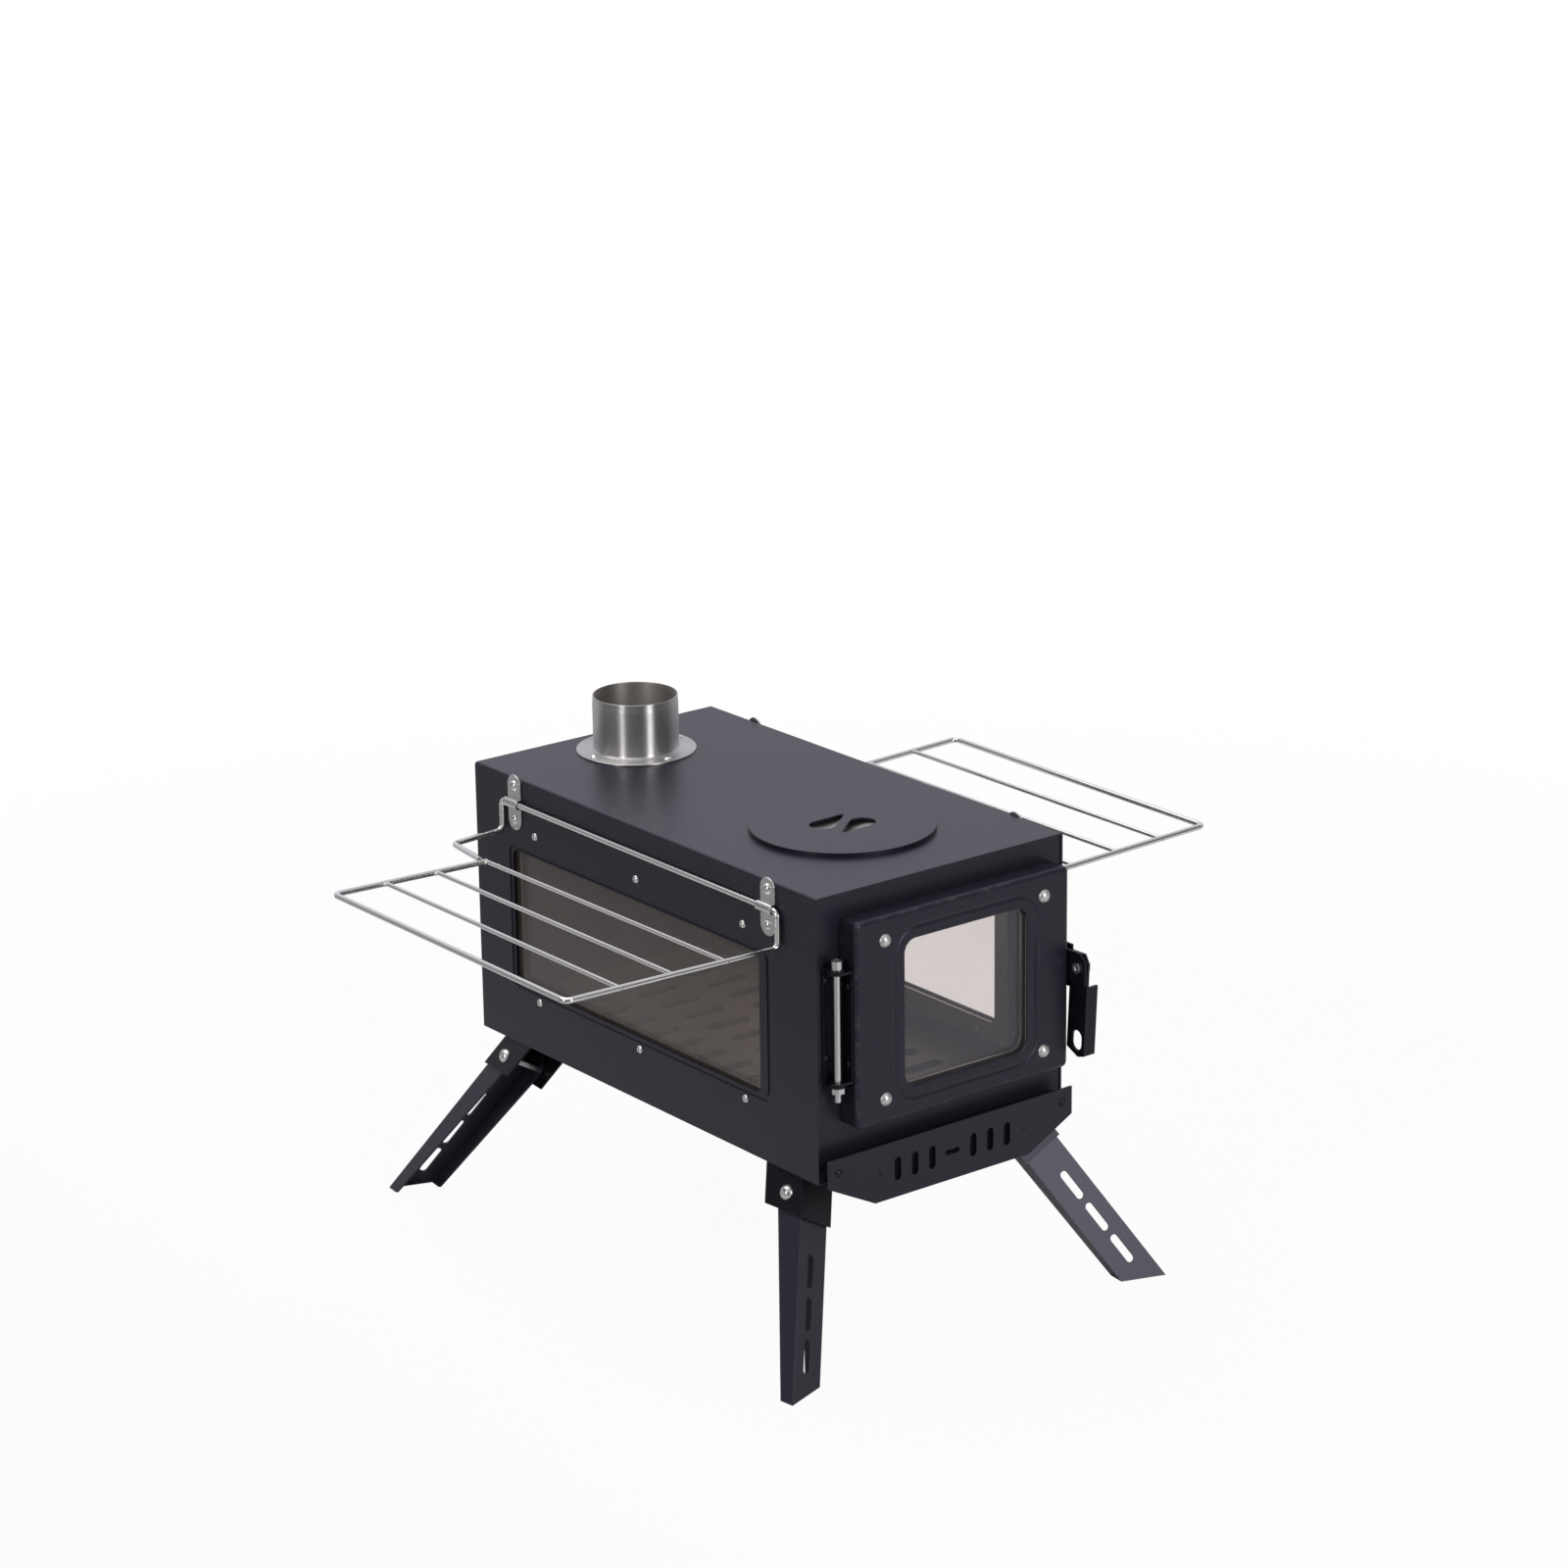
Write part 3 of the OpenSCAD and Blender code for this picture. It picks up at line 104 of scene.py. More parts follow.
class Value:
    """A number that varies over a surface. Python sums on it add Math nodes."""

    def __init__(self, finish, socket):
        self.finish = finish
        self.socket = socket

    def _sum(self, operation, *terms):
        node = self.finish.node("ShaderNodeMath", {"operation": operation}, dict(enumerate(terms)))
        return Value(self.finish, node.outputs[0])

    def __add__(self, other):
        return self._sum("ADD", self, other)

    def __sub__(self, other):
        return self._sum("SUBTRACT", self, other)

    def __rsub__(self, other):
        return self._sum("SUBTRACT", other, self)

    def __mul__(self, other):
        return self._sum("MULTIPLY", self, other)

    def __pow__(self, other):
        return self._sum("POWER", self, other)

    __radd__ = __add__
    __rmul__ = __mul__

    def above(self, low, high):
        """0 where the value is under low, 1 over high, and a smooth rise between."""
        node = self.finish.node(
            "ShaderNodeMapRange",
            {"interpolation_type": "SMOOTHSTEP", "clamp": True},
            {"Value": self, "From Min": low, "From Max": high},
        )
        return Value(self.finish, node.outputs["Result"])

    def at_least(self, other):
        return self._sum("MAXIMUM", self, other)

    def size(self):
        return self._sum("ABSOLUTE", self)


# The Mix node's sockets for colours, by number since its sockets for other data share the names
COLOUR_LOW, COLOUR_HIGH, COLOUR_OUT = 6, 7, 2


class Finish:
    """A material under construction: one method adds any node, and the rest name what they add."""

    def __init__(self, name, tree=None):
        if tree is None:
            self.material = bpy.data.materials.new(name)
            self.material.use_nodes = True
            tree = self.material.node_tree
        self.tree = tree
        tree.nodes.clear()

    def node(self, kind, settings=None, inputs=None):
        """Adds a node, makes its settings, then gives its sockets their values or links."""
        node = self.tree.nodes.new(kind)
        for key, value in (settings or {}).items():
            setattr(node, key, value)
        for key, value in (inputs or {}).items():
            self.feed(node.inputs[key], value)
        return node

    def feed(self, socket, value):
        """Links a socket to a value or another socket, or gives it a plain number or colour."""
        if isinstance(value, Value):
            value = value.socket
        if isinstance(value, bpy.types.NodeSocket):
            self.tree.links.new(value, socket)
        elif isinstance(value, (tuple, list)) and len(value) == 3 and socket.type == "RGBA":
            socket.default_value = (*value, 1)
        else:
            socket.default_value = value

    def place(self):
        """The point on the surface, in metres, in the piece's own frame."""
        return self.node("ShaderNodeTexCoord").outputs["Object"]

    def parts(self, vector):
        """The three numbers of a vector."""
        split = self.node("ShaderNodeSeparateXYZ", None, {0: vector})
        return [Value(self, split.outputs[i]) for i in range(3)]

    def stretched(self, x, y, z):
        """The point with each axis counted the given number of times per metre."""
        node = self.node("ShaderNodeVectorMath", {"operation": "MULTIPLY"}, {0: self.place()})
        node.inputs[1].default_value = (x, y, z)
        return node.outputs[0]

    def noise(self, per_metre, detail=2.0, rough=0.5, at=None):
        """A cloudy value about 0.5, with the given number of clouds per metre."""
        node = self.node(
            "ShaderNodeTexNoise",
            None,
            {
                "Vector": self.place() if at is None else at,
                "Scale": per_metre,
                "Detail": detail,
                "Roughness": rough,
            },
        )
        return Value(self, node.outputs["Fac"])

    def cells(self, per_metre):
        """Distance to the nearest of scattered points, 0 on a point."""
        node = self.node(
            "ShaderNodeTexVoronoi", None, {"Vector": self.place(), "Scale": per_metre}
        )
        return Value(self, node.outputs["Distance"])

    def mark(self, name):
        """A value that the mesh code left on the piece, 0 where it left none."""
        node = self.node("ShaderNodeAttribute", {"attribute_name": name})
        return Value(self, node.outputs["Fac"])

    def blend(self, share, low, high):
        """Colour low where share is 0 and colour high where it is 1."""
        node = self.node(
            "ShaderNodeMix", {"data_type": "RGBA"},
            {"Factor": share, COLOUR_LOW: low, COLOUR_HIGH: high},
        )
        return node.outputs[COLOUR_OUT]

    def bumped(self, height, depth, strength):
        """The surface's direction where height, from 0 to 1, stands depth metres deep."""
        bump = self.node(
            "ShaderNodeBump", None, {"Height": height, "Distance": depth, "Strength": strength}
        )
        return bump.outputs["Normal"]

    def mixed(self, share, first, second):
        """Shader first where share is 0 and shader second where it is 1."""
        node = self.node("ShaderNodeMixShader", None, {0: share, 1: first, 2: second})
        return node.outputs[0]

    def matt(self, colour):
        return self.node("ShaderNodeBsdfDiffuse", None, {"Color": colour}).outputs[0]

    def body(self, **sockets):
        """The shader itself. A socket's name is written with _ for its spaces."""
        inputs = {key.replace("_", " "): value for key, value in sockets.items()}
        return self.node("ShaderNodeBsdfPrincipled", None, inputs).outputs[0]

    def show(self, shader):
        out = self.node("ShaderNodeOutputMaterial")
        self.tree.links.new(shader, out.inputs["Surface"])
        return self.material


# ---------- finishes ----------

# A lighter grey painted along the rounded edges as a highlight
EDGE_HIGHLIGHT_PAINT = (0.075, 0.075, 0.082)
DUST = (0.12, 0.118, 0.115)
PAINT_SHEEN = (0.84, 0.83, 1.0)
WELD_TINT = (0.34, 0.29, 0.24)
GLASS_SHINE = (0.95, 0.93, 0.93)
FIBRE_SHADED, FIBRE_LIT = (0.42, 0.39, 0.33), (0.66, 0.63, 0.56)
IRON_DARK, IRON_LIGHT = (0.10, 0.088, 0.080), (0.19, 0.17, 0.155)
# The second colour is shade painted onto the upright walls of the grate's slots
IRON_RUBBED, IRON_SLOT_SHADE = (0.30, 0.28, 0.26), (0.010, 0.009, 0.008)
HEAD_ON = 0.04  # the share of light that glass mirrors head on


def scaled(colour, share):
    return tuple(c * share for c in colour)


def paint(name, colour, gloss, shine=0.42):
    """Heat-proof stove paint: fine orange peel, faint clouding, dust, and a patchy highlight
    painted lighter along the rounded edges.
    """
    f = Finish(name)
    cloud = f.noise(per_metre=4, detail=2)
    peel = f.noise(per_metre=700, detail=1)
    # Painted highlight: patches along the crests of the rounded edges turn lighter and glossier
    edge_highlight = f.mark("edge") * f.noise(per_metre=120, detail=3, rough=0.65).above(0.46, 0.72)
    specks = 1 - f.cells(per_metre=60).above(0.010, 0.022)
    dust = specks * f.noise(per_metre=11, detail=1).above(0.56, 0.62)
    tone = f.blend(cloud, scaled(colour, 0.97), scaled(colour, 1.03))
    tone = f.blend(edge_highlight * 0.5, tone, EDGE_HIGHLIGHT_PAINT)
    tone = f.blend(dust * 0.3, tone, DUST)
    roughness = gloss + (cloud - 0.5) * 0.015 - edge_highlight * 0.04 + dust * 0.2
    return f.show(f.body(
        Base_Color=tone, Roughness=roughness, Normal=f.bumped(peel, depth=0.000001, strength=0.5),
        Specular_IOR_Level=shine, Specular_Tint=PAINT_SHEEN,
    ))


def bright(name, colour, gloss, lines=(400, 400, 400), spread=0.0, depth=0.000002):
    """Bright stainless steel with fine turned or drawn lines, a thin film and handling marks.

    lines is how many lines there are per metre along each axis, and depth how deep they are, in
    metres. spread draws each highlight out across lines that run round the piece's height.
    """
    f = Finish(name)
    drawn = f.noise(per_metre=1, detail=2, rough=0.6, at=f.stretched(*lines))
    film = f.noise(per_metre=24, detail=3)
    smudge = f.noise(per_metre=1, detail=4, rough=0.7, at=f.stretched(190, 60, 160))
    edge = f.mark("edge")
    weld = f.mark("weld")
    tone = f.blend(film, scaled(colour, 0.93), colour)
    tone = f.blend(weld * 0.45, tone, WELD_TINT)
    roughness = gloss + (film - 0.5) * 0.05
    roughness += smudge.above(0.60, 0.72) * 0.04 + edge * 0.04 + weld * 0.3
    return f.show(f.body(
        Base_Color=tone, Metallic=1.0, Roughness=roughness,
        Normal=f.bumped(drawn, depth, strength=0.5),
        Anisotropic=spread, Anisotropic_Rotation=0.25 if spread else 0.0,
    ))


def smoked_glass(name, tint, film, film_and_reflection_colour):
    """Clear heat-proof glass in a faint tint, under a thin cloudy matt film that is partly a film
    on the glass and partly painted reflection.
    """
    f = Finish(name)
    haze = f.noise(per_metre=9, detail=2)
    through = f.node("ShaderNodeBsdfTransparent", None, {"Color": tint}).outputs[0]
    shine = f.node(
        "ShaderNodeBsdfGlossy", None, {"Color": GLASS_SHINE, "Roughness": 0.03}
    ).outputs[0]
    facing = Value(f, f.node("ShaderNodeLayerWeight", None, {"Blend": 0.5}).outputs["Facing"])
    mirror = HEAD_ON + facing ** 5 * (1 - HEAD_ON)
    # The matt film is partly a real film on the glass and partly painted reflection
    share = haze.above(0.2, 0.8) * film * 0.35 + film * 0.8
    return f.show(f.mixed(mirror, f.mixed(share, through, f.matt(film_and_reflection_colour)), shine))


def glass_fibre(name):
    """Pale woven glass-fibre tape and rope."""
    f = Finish(name)
    strand = f.noise(per_metre=1, detail=2, at=f.stretched(1400, 1400, 420))
    weave = f.cells(per_metre=620)
    return f.show(f.body(
        Base_Color=f.blend(strand, FIBRE_SHADED, FIBRE_LIT), Roughness=0.92,
        Normal=f.bumped(weave, depth=0.0004, strength=0.7), Specular_IOR_Level=0.2,
    ))


def grate_iron(name):
    """Bare steel plate of the grate, dull and slightly browned, with shade painted near-black onto
    the upright walls of its slots.
    """
    f = Finish(name)
    cloud = f.noise(per_metre=22, detail=4, rough=0.6)
    fine = f.noise(per_metre=900, detail=2)
    tone = f.blend(cloud, IRON_DARK, IRON_LIGHT)
    tone = f.blend(f.mark("edge") * 0.2, tone, IRON_RUBBED)
    # Painted shade: upright faces, the walls of the slots, turn near-black and less metallic
    upward = f.parts(f.node("ShaderNodeTexCoord").outputs["Normal"])[2]
    cut = (1 - upward.size()).above(0.15, 0.5)
    tone = f.blend(cut, tone, IRON_SLOT_SHADE)
    return f.show(f.body(
        Base_Color=tone, Metallic=0.55 - cut * 0.5, Roughness=0.5 + (cloud - 0.5) * 0.2,
        Normal=f.bumped(fine, depth=0.00003, strength=0.6),
    ))


FINISHES = {
    "stove_paint": paint("stove_paint_finish", (0.0150, 0.0140, 0.0225), gloss=0.36),
    "dark_paint": paint("dark_paint_finish", (0.0058, 0.0056, 0.0080), gloss=0.32, shine=0.36),
    # The legs' paint is the stove's paint made lighter, which paints light onto the legs
    "leg_paint": paint("leg_paint_painted_light_finish", (0.0190, 0.0180, 0.0280), gloss=0.36, shine=0.62),
    "polished_steel": bright(
        "polished_steel_finish", (0.58, 0.565, 0.56), gloss=0.37, lines=(20, 20, 1800),
        spread=0.92,
    ),
    "wire_steel": bright(
        "wire_steel_finish", (0.88, 0.87, 0.86), gloss=0.12, lines=(60, 8, 60), depth=0.0000003
    ),
    "screw_steel": bright("screw_steel_finish", (0.76, 0.75, 0.745), gloss=0.30),
    "inner_steel": bright("inner_steel_finish", (0.50, 0.48, 0.46), gloss=0.34),
    "smoked_glass": smoked_glass(
        "side_glass_finish", (0.985, 0.955, 0.945), film=0.128, film_and_reflection_colour=(0.41, 0.34, 0.32)
    ),
    "glass_fibre": glass_fibre("glass_fibre_finish"),
    "grate_iron": grate_iron("grate_iron_finish"),
}
SOOTY_GASKET = paint("sooty_gasket_finish", (0.0040, 0.0036, 0.0036), gloss=0.75, shine=0.10)
# Nodes that look different from the other nodes of their slot
OWN_FINISH = {
    # The door glass's bluish film is painted reflection of the room
    "door_glass": smoked_glass(
        "door_glass_finish", (1.0, 0.99, 0.987), film=0.034, film_and_reflection_colour=(0.56, 0.53, 0.66)
    ),
    "lid_cup": bright("lid_cup_finish", (0.78, 0.75, 0.73), gloss=0.38),
    "side_gasket_left": SOOTY_GASKET,
    "side_gasket_right": SOOTY_GASKET,
    "window_screws": bright("window_screw_finish", (0.80, 0.79, 0.785), gloss=0.24),
    "rack_clips": bright("rack_clip_finish", (0.74, 0.73, 0.725), gloss=0.24),
    "rack_clip_screws": bright("clip_screw_finish", (0.84, 0.83, 0.82), gloss=0.15),
    # The slider's near-black matt paint is painted shade, seen through the air cover's slots
    "air_slider": paint(
        "air_slider_painted_shade_finish", (0.0022, 0.0020, 0.0024), gloss=0.55, shine=0.10
    ),
    "door_screws": bright("door_screw_finish", (0.74, 0.725, 0.72), gloss=0.42),
    "flue_rivets": bright("flue_rivet_finish", (0.80, 0.785, 0.77), gloss=0.16),
}


# ---------- mesh code ----------

ROUNDED_TURN = math.radians(32)  # edges that turn more than this are rounded
SHARP_TURN = math.radians(38)    # edges that turn more than this are shaded sharp
FLAT_TURN = math.radians(0.4)    # faces that turn less than this are one face
SAME_WAY = 0.99999               # cosine above which neighbouring faces lie in one plane
LARGE_FLAT = 0.0006              # square metres of sheet that are shaded as a flat of their own
UPRIGHT = 0.2                    # a cut-out's walls have less than this of their normal along Z


def slot_of(node):
    """The record's material slot that a CAD node wears."""
    return NODES[node].data.materials[0].name.split(".")[0]


def groups_of(things, beside):
    """Splits faces or points into the groups that hang together, given what lies beside each."""
    left = set(things)
    found = []
    while left:
        group = {left.pop()}
        rim = list(group)
        while rim:
            near = {other for thing in rim for other in beside(thing)} & left
            left -= near
            group |= near
            rim = list(near)
        found.append(group)
    return found


def faces_beside(face):
    return [other for e in face.edges for other in e.link_faces]


def points_beside(v):
    return [e.other_vert(v) for e in v.link_edges]


def sheet_borders(bm):
    """The edges round each large flat stretch of sheet, so that its shading stays flat."""
    bm.normal_update()
    bm.edges.index_update()

    def level_with(face):
        return [near for near in faces_beside(face) if near.normal.dot(face.normal) > SAME_WAY]

    borders = set()
    for flat in groups_of(bm.faces, level_with):
        if sum(face.calc_area() for face in flat) > LARGE_FLAT:
            borders |= {
                e.index for face in flat for e in face.edges
                if any(other not in flat for other in e.link_faces)
            }
    return sorted(borders)


def shown(name, bm, finish):
    """Mesh code as an object in the scene."""
    mesh = bpy.data.meshes.new(name)
    bm.to_mesh(mesh)
    bm.free()
    mesh.materials.append(finish)
    thing = bpy.data.objects.new(name, mesh)
    bpy.context.scene.collection.objects.link(thing)
    return thing


def add_piece(name, bm, body, slot, nodes=()):
    """Turns mesh code into a piece that rides on a body and stands for its CAD nodes."""
    borders = sheet_borders(bm)
    piece = shown(name, bm, OWN_FINISH.get(nodes[0] if nodes else name, FINISHES[slot]))
    mesh = piece.data
    for polygon in mesh.polygons:
        polygon.use_smooth = True
    mesh.set_sharp_from_angle(angle=SHARP_TURN)
    for i in borders:
        mesh.edges[i].use_edge_sharp = True
    weighted = piece.modifiers.new("flat_faces_stay_flat", "WEIGHTED_NORMAL")
    weighted.keep_sharp = True
    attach(piece, body)
    if nodes:
        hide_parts(*nodes)


def node_mesh(*nodes):
    """The nodes' own meshes as one closed mesh, with faces that lie in one plane made one."""
    bm = bmesh.new()
    for node in nodes:
        bm.from_mesh(NODES[node].data)
    bmesh.ops.remove_doubles(bm, verts=bm.verts, dist=SAME_POINT)
    bmesh.ops.dissolve_limit(
        bm, angle_limit=FLAT_TURN, verts=bm.verts, edges=bm.edges, use_dissolve_boundaries=False
    )
    return bm


def round_edges(bm, radius, segments=2):
    """Rounds the edges, and marks the crest of each round for the finishes to read."""
    edges = [
        e for e in bm.edges if len(e.link_faces) == 2 and e.calc_face_angle(0) > ROUNDED_TURN
    ]
    rounds = bm.faces.layers.float.new("edge_face")
    result = bmesh.ops.bevel(
        bm, geom=edges, offset=radius, offset_type="OFFSET", segments=segments,
        profile=0.5, affect="EDGES", clamp_overlap=True, miter_outer="SHARP",
    )
    for face in result["faces"]:
        if face.is_valid:
            face[rounds] = 1.0
    crest = bm.verts.layers.float.new("edge")
    for v in bm.verts:
        v[crest] = float(all(face[rounds] for face in v.link_faces))
    bm.faces.layers.float.remove(rounds)


def opened(bm, under, along, across):
    """Opens each cut-out of a level plate that is shorter than under about its own middle."""
    bm.normal_update()
    walls = [face for face in bm.faces if abs(face.normal.z) < UPRIGHT]
    for group in groups_of(walls, faces_beside):
        points = {v for face in group for v in face.verts}
        low = Vector((min(v.co.x for v in points), min(v.co.y for v in points)))
        high = Vector((max(v.co.x for v in points), max(v.co.y for v in points)))
        if max(high - low) < under:
            middle = (low + high) / 2
            for v in points:
                v.co.x = middle.x + (v.co.x - middle.x) * along
                v.co.y = middle.y + (v.co.y - middle.y) * across


def shallower(bm, share):
    """Draws a bowl up towards its rim, to the given share of its depth."""
    top = max(v.co.z for v in bm.verts)
    for v in bm.verts:
        v.co.z = top + (v.co.z - top) * share


def dressed(node, radius, change=None, *amounts):
    """A CAD node's form with its edges rounded, as pressed, cut or turned metal has them."""
    bm = node_mesh(node)
    if change:
        change(bm, *amounts)
    round_edges(bm, radius)
    add_piece("finished_" + node, bm, BODY_OF[node], slot_of(node), (node,))


# Radii of the rounded edges in millimetres
EDGE_RADII = {
    "front_panel": 0.35, "back_panel": 0.35, "floor_panel": 0.35, "lid_ring": 0.3,
    "side_clamp_left": 0.3, "side_clamp_right": 0.3,
    "rack_clips": 0.3, "rack_clip_screws": 0.12, "window_screws": 0.12,
    "air_cover": 0.4, "air_cover_rivets": 0.12, "air_slider": 0.3, "air_guides": 0.15,
    "air_cover_spacers": 0.2,
    "hinge_body_bracket": 0.35, "hinge_door_bracket": 0.35, "hinge_body_rivets": 0.12,
    "hinge_door_rivets": 0.12, "hinge_pin": 0.15, "hinge_nut": 0.15,
    "latch_keeper": 0.35, "keeper_rivets": 0.12, "latch_bracket": 0.35, "latch_rivets": 0.12,
    "latch_bolt": 0.15, "latch_handle": 0.4,
    "door_glass_frame": 0.3, "door_screws": 0.2, "flue_rivets": 0.15,
    "leg_bracket_front_left": 0.4, "leg_bracket_front_right": 0.4,
    "leg_bracket_back_left": 0.4, "leg_bracket_back_right": 0.4,
    "leg_bracket_rivets": 0.12, "leg_bolts": 0.15, "leg_nuts": 0.15,
    "leg_front_left": 0.4, "leg_front_right": 0.4, "leg_back_left": 0.4, "leg_back_right": 0.4,
}


SHELL_NODES = ("top_plate", "side_wall_left", "side_wall_right")
SHELL_EDGE = 0.45


def stove_shell():
    """The body's sheet, folded from one plate: both sides and the top."""
    bm = node_mesh(*SHELL_NODES)
    round_edges(bm, SHELL_EDGE * MM, segments=3)
    add_piece("stove_shell", bm, "stove", "stove_paint", SHELL_NODES)


def skin(rings, marks):
    """Faces between rings of equally many points, the last ring joined back to the first."""
    bm = bmesh.new()
    crest = bm.verts.layers.float.new("edge")
    made = [[bm.verts.new(p) for p in ring] for ring in rings]
    for ring, mark in zip(made, marks):
        for v in ring:
            v[crest] = mark
    for low, high in zip(made, made[1:] + made[:1]):
        for i, v in enumerate(low):
            j = (i + 1) % len(low)
            bm.faces.new((v, low[j], high[j], high[i]))
    bmesh.ops.recalc_face_normals(bm, faces=bm.faces)
    return bm


def circle(radius, around):
    """Points round a circle, as (across, up)."""
    turns = [2 * math.pi * i / around for i in range(around)]
    return [(radius * math.cos(turn), radius * math.sin(turn)) for turn in turns]


def rounded(width, height, corner, steps=8):
    """Points round a rectangle with rounded corners, as (across, up)."""
    quarters = ((1, 1), (-1, 1), (-1, -1), (1, -1))
    return [
        (
            sx * (width / 2 - corner) + corner * math.cos(math.pi / 2 * (quarter + i / steps)),
            sz * (height / 2 - corner) + corner * math.sin(math.pi / 2 * (quarter + i / steps)),
        )
        for quarter, (sx, sz) in enumerate(quarters)
        for i in range(steps + 1)
    ]


# The door's pan in millimetres: its window's width, height and corner radius, how far the window
# sits right of the pan's middle, the sheet, the pan's corners outside and inside, the radius of
# its bent front edges and the round inside the bend
WINDOW = (103, 100, 9)
WINDOW_ASIDE = 2
DOOR_SHEET = 1.5
PAN_CORNER = 4.0
PAN_INNER_CORNER = 2.5
PAN_BEND = 3.0
BEND_STEPS = 5
BEND_INSIDE = 0.6
# How far the pan's cut rim and the bead's lip count as an edge, from 0 to 1; the paint lightens
# edges as a painted highlight
RIM_MARK, LIP_MARK = 0.4, 0.6
LIP_DEPTH = 0.2
# The pressed bead round the window: distance out from the window's edge, and depth
BEAD = (
    (10.6, 0), (10.1, 0.08), (9.6, 0.34), (9.0, 0.62), (8.4, 0.72), (7.8, 0.62), (7.2, 0.34),
    (6.7, 0.08), (6.2, 0), (1.4, 0), (0.8, 0.10), (0.3, 0.38), (0.05, 0.8), (0, DOOR_SHEET),
)


def door_pan():
    """The door's pressed pan: folded rim, rounded front edges and a soft bead round the glass."""
    low, high = (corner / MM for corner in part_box("door_pan"))
    middle = (low + high) / 2
    width, depth, height = high - low
    # Width, height, corner radius, way aside, depth behind the front and edge mark of each ring
    form = [
        (width, height, PAN_CORNER, 0, depth, RIM_MARK),
        (width, height, PAN_CORNER, 0, PAN_BEND, 0),
    ]
    for i in range(1, BEND_STEPS + 1):
        turn = math.pi / 2 * i / BEND_STEPS
        inset = PAN_BEND * (1 - math.cos(turn))
        form.append((
            width - 2 * inset, height - 2 * inset, PAN_CORNER - inset * 0.8, 0,
            PAN_BEND * (1 - math.sin(turn)), math.sin(2 * turn),
        ))
    for out, deep in BEAD:
        mark = LIP_MARK if 0 < deep < LIP_DEPTH else 0
        form.append((
            WINDOW[0] + 2 * out, WINDOW[1] + 2 * out, WINDOW[2] + out, WINDOW_ASIDE, deep, mark
        ))
    for inset, deep, mark in (
        (PAN_BEND, DOOR_SHEET, 0), (DOOR_SHEET + BEND_INSIDE / 2, DOOR_SHEET + BEND_INSIDE, 0),
        (DOOR_SHEET, PAN_BEND, 0), (DOOR_SHEET, depth, RIM_MARK),
    ):
        form.append((width - 2 * inset, height - 2 * inset, PAN_INNER_CORNER, 0, deep, mark))
    rings = [
        [
            Vector((middle.x + aside + x, low.y + deep, middle.z + z)) * MM
            for x, z in rounded(wide, tall, corner)
        ]
        for wide, tall, corner, aside, deep, _ in form
    ]
    bm = skin(rings, [part[-1] for part in form])
    add_piece("door_pan_pressed", bm, "door", "stove_paint", ("door_pan",))


AROUND_COLLAR = 128
# The round between flange and pipe, and the radius inside which the collar is darker, browner and
# rougher, in millimetres
ROOT_CENTRE = (32.4, 3.7)
ROOT_RADIUS = 2.4
ROOT_STEPS = 5
DARKER_WITHIN = 29.25


def flue_collar():
    """The polished collar: flange with rounded rim, a small root radius and a drawn-in mouth."""
    low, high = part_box("flue_collar")
    at = Vector(((low.x + high.x) / 2, (low.y + high.y) / 2, low.z))
    rise = (high.z - low.z) / MM
    flange = (high.x - low.x) / MM / 2
    # Radius, height and edge mark of each ring: out under the flange, in over it, up the pipe,
    # over its mouth and down its bore, in millimetres
    profile = [
        (29.0, 0.0, 0), (flange - 0.4, 0.0, 0), (flange - 0.1, 0.15, 1), (flange, 0.5, 1),
        (flange - 0.1, 1.0, 1), (flange - 0.5, 1.2, 0), (33.2, 1.2, 0), (32.6, 1.25, 0),
    ]
    for i in range(1, ROOT_STEPS + 1):
        turn = math.pi / 2 * i / ROOT_STEPS
        profile.append((
            ROOT_CENTRE[0] - ROOT_RADIUS * math.sin(turn),
            ROOT_CENTRE[1] - ROOT_RADIUS * math.cos(turn), 0,
        ))
    profile += [
        (30.0, rise - 6.5, 0), (29.93, rise - 5.2, 0), (29.78, rise - 4.0, 0),
        (29.70, rise - 2.8, 0), (29.68, rise - 0.5, 0), (29.55, rise - 0.12, 1),
        (29.3, rise, 1), (29.0, rise - 0.12, 1), (28.8, rise - 0.5, 0),
        (28.8, rise - 4.5, 0), (29.0, rise - 6.5, 0),
    ]
    rings = [
        [at + Vector((x, y, height)) * MM for x, y in circle(radius, AROUND_COLLAR)]
        for radius, height, _ in profile
    ]
    bm = skin(rings, [mark for _, _, mark in profile])
    darker_bore = bm.verts.layers.float.new("weld")
    for v in bm.verts:
        if (v.co - at).xy.length < DARKER_WITHIN * MM:
            v[darker_bore] = 1.0
    add_piece("turned_flue_collar", bm, "stove", "polished_steel", ("flue_collar",))


def solids_of(node):
    """The corner points of each separate solid in a CAD node, in a settled order."""
    bm = bmesh.new()
    bm.from_mesh(NODES[node].data)
    bmesh.ops.remove_doubles(bm, verts=bm.verts, dist=SAME_POINT)
    found = [
        sorted((v.co.copy() for v in group), key=tuple)
        for group in groups_of(bm.verts, points_beside)
    ]
    bm.free()
    return sorted(found, key=lambda points: tuple(points[0]))


# The weld at a cross wire's front and rear end, in millimetres: its place from the end's middle,
# as (outward, back, up), and its half sizes
WELDS = {
    1: ((0, -3.1, -0.3), (1.2, 0.7, 1.0)),
    -1: ((1.7, -0.3, -0.2), (1.5, 1.5, 1.3)),
}
WELD_END = 1       # length of a wire's end that gives its middle, in millimetres
WELD_SWELL = 0.10  # how far a lump is from round, as a share of its size


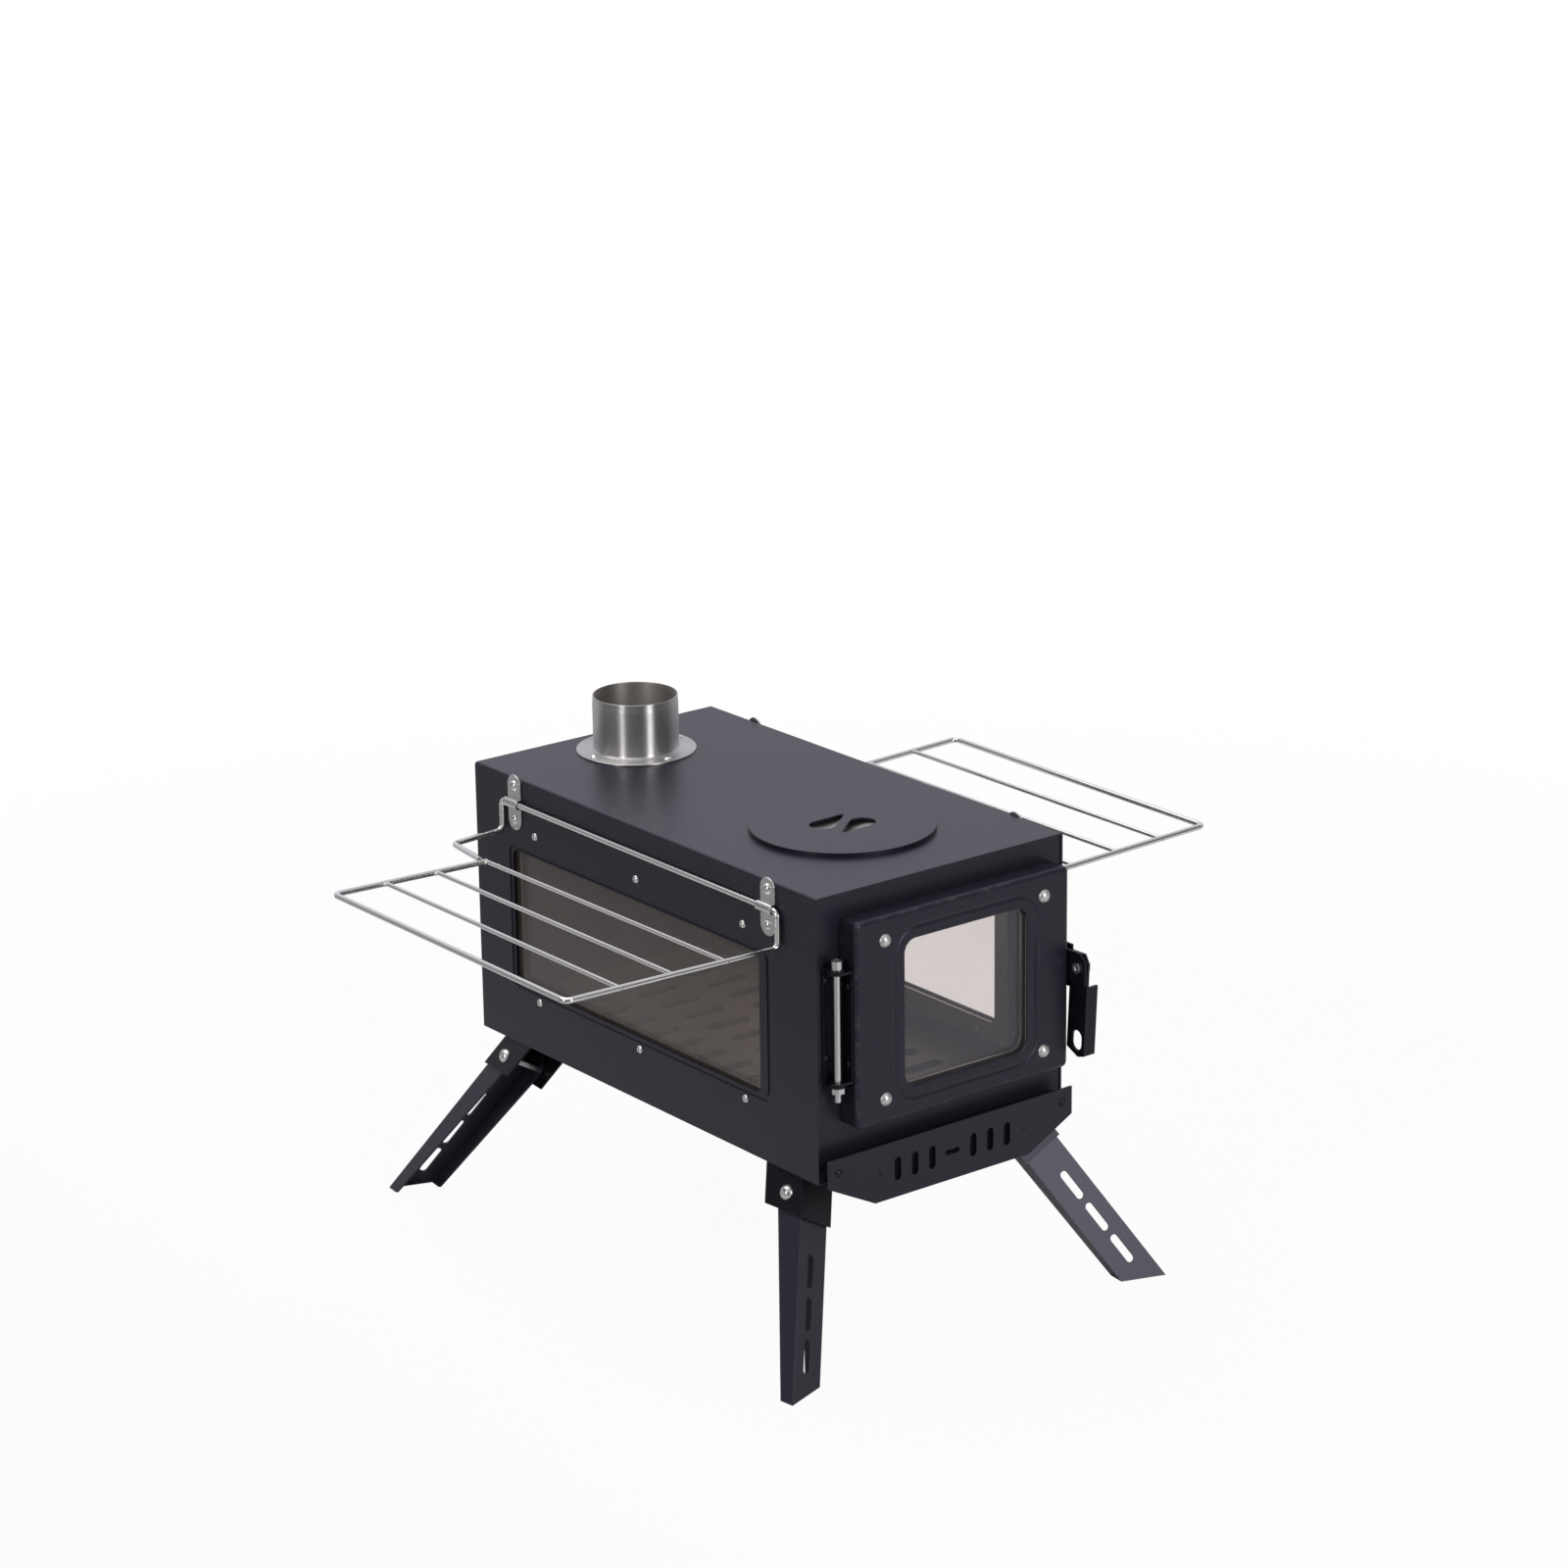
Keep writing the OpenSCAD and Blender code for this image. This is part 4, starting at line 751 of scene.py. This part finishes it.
def weld_nuggets(side):
    """The lumps of weld where the rack's cross wires butt against the frame's wires."""
    bm = bmesh.new()
    outward = -1 if side == "left" else 1
    for points in solids_of("rack_bars_" + side):
        for inward, ((out, back, up), size) in WELDS.items():
            tip = min(p.y * inward for p in points)
            end = [p for p in points if p.y * inward < tip + WELD_END * MM]
            middle = sum(end, Vector()) / len(end)
            at = Vector((middle.x, tip * inward, middle.z)) + Vector((outward * out, back, up)) * MM
            for v in bmesh.ops.create_icosphere(bm, subdivisions=3, radius=1)["verts"]:
                wave = math.sin(7 * v.co.x + 900 * at.x) * math.cos(6 * v.co.y)
                lump = Vector(c * r for c, r in zip(v.co, size))
                v.co = at + lump * MM * (1 + WELD_SWELL * wave)
    welded = bm.verts.layers.float.new("weld")
    for v in bm.verts:
        v[welded] = 1.0
    add_piece("rack_welds_" + side, bm, side + "_rack", "wire_steel")


# ---------- studio ----------

WHITE = (1.0, 1.0, 1.0)
COOL_WHITE = (0.93, 0.92, 1.0)
PALE_FLOOR = (0.62, 0.62, 0.62)
# Shade painted onto the floor to the left of the stove
FLOOR_PAINTED_SHADE = (0.31, 0.31, 0.31)
FLOOR_SHOWN_WHITE = 0.95   # how white the camera sees the floor near the stove, 1 is all white
BEHIND = (0.61, 0.79)      # the way from the camera to the stove, as X and Y
# The room's light from the camera's side, what the far side adds to it, and from overhead
FRONT_LIGHT, BACK_LIGHT, TOP_LIGHT = 0.13, 0.66, 0.6
FLOOR_RINGS = (0.5, 1.0, 2.0, 4.0, 7.0)
AROUND_FLOOR = 64


def studio_floor():
    """A wide pale floor, with shade painted grey onto it to the left of the stove, that fades into
    white away from the stove.
    """
    bm = bmesh.new()
    centre = bm.verts.new((0, 0, 0))
    before = None
    for radius in FLOOR_RINGS:
        ring = [bm.verts.new((x, y, 0)) for x, y in circle(radius, AROUND_FLOOR)]
        for i in range(AROUND_FLOOR):
            j = (i + 1) % AROUND_FLOOR
            if before is None:
                bm.faces.new((centre, ring[i], ring[j]))
            else:
                bm.faces.new((before[i], ring[i], ring[j], before[j]))
        before = ring
    f = Finish("studio_floor_finish")
    x, y, _ = f.parts(f.place())
    far = ((x * x + y * y) ** 0.5).above(0.55, 1.5)
    seen = Value(f, f.node("ShaderNodeLightPath").outputs["Is Camera Ray"])
    # Painted shade: the floor turns grey to the left of the stove
    left = (x * -1).above(0.24, 0.52) * (1 - y.above(0.9, 1.3))
    matt = f.mixed(left, f.matt(PALE_FLOOR), f.matt(FLOOR_PAINTED_SHADE))
    white = f.node("ShaderNodeEmission", None, {"Color": WHITE, "Strength": 1.0}).outputs[0]
    share = seen * (FLOOR_SHOWN_WHITE + far * (1 - FLOOR_SHOWN_WHITE))
    finish = f.show(f.mixed(share, matt, white))
    shown("studio_floor", bm, finish)


def studio_walls():
    """The world: white behind the stove, greyer on the camera's side, white where seen."""
    world = bpy.data.worlds.new("studio")
    world.use_nodes = True
    bpy.context.scene.world = world
    f = Finish("studio", world.node_tree)
    x, y, z = f.parts(f.node("ShaderNodeTexCoord").outputs["Generated"])
    behind = (x * BEHIND[0] + y * BEHIND[1]).above(0.05, 0.80)
    high = z.above(0.2, 0.95)
    path = f.node("ShaderNodeLightPath")
    seen = Value(f, path.outputs["Is Camera Ray"]).at_least(
        Value(f, path.outputs["Is Transmission Ray"])
    )
    shade = (FRONT_LIGHT + behind * BACK_LIGHT).at_least(high * TOP_LIGHT).at_least(seen)
    cool = f.blend(behind * (1 - seen), WHITE, COOL_WHITE)
    light = f.node("ShaderNodeBackground", None, {"Color": cool, "Strength": shade}).outputs[0]
    out = f.node("ShaderNodeOutputWorld")
    world.node_tree.links.new(light, out.inputs["Surface"])


def softbox(name, at, aim, width, height, watts):
    """A flat lamp that lights the stove but isn't seen itself."""
    data = bpy.data.lights.new(name, "AREA")
    data.shape = "RECTANGLE"
    data.size = width
    data.size_y = height
    data.energy = watts
    lamp = bpy.data.objects.new(name, data)
    lamp.location = at
    lamp.rotation_euler = (Vector(aim) - Vector(at)).to_track_quat("-Z", "Y").to_euler()
    lamp.visible_camera = False
    bpy.context.scene.collection.objects.link(lamp)


# ---------- the scene ----------

# Cut-outs shorter than the first length are opened by the two shares: along X and along Y. The
# photograph shows wider slots and larger finger holes than the CAD form has
GRATE_SLOTS = (60 * MM, 1.0, 1.35)
FINGER_HOLES = (40 * MM, 1.10, 1.12)
# The lid's cup is drawn up to this share of its depth, so that light through the holes meets it
CUP_DEPTH = 0.36

photo_camera()
studio_floor()
studio_walls()
softbox(
    "over_stove", at=(-0.2, 0.5, 1.9), aim=(0, 0, 0.2), width=1.6, height=1.6, watts=16
)
softbox(
    "before_door", at=(0.10, -2.3, 1.0), aim=(0.05, 0, 0.25), width=0.5, height=1.4, watts=16.5
)
softbox(
    "left_of_camera", at=(-2.05, -0.52, 0.95), aim=(0, 0, 0.3), width=0.28, height=1.2, watts=8.0
)

stove_shell()
door_pan()
flue_collar()
weld_nuggets("left")
weld_nuggets("right")
dressed("grate", 0.35 * MM, opened, *GRATE_SLOTS)
dressed("lid_plate", 0.45 * MM, opened, *FINGER_HOLES)
dressed("lid_cup", 0.2 * MM, shallower, CUP_DEPTH)
for node, radius in EDGE_RADII.items():
    dressed(node, radius * MM)
for node, thing in NODES.items():
    finish = OWN_FINISH.get(node, FINISHES[slot_of(node)])
    for slot in thing.material_slots:
        slot.material = finish

bpy.context.scene.view_settings.view_transform = "Standard"
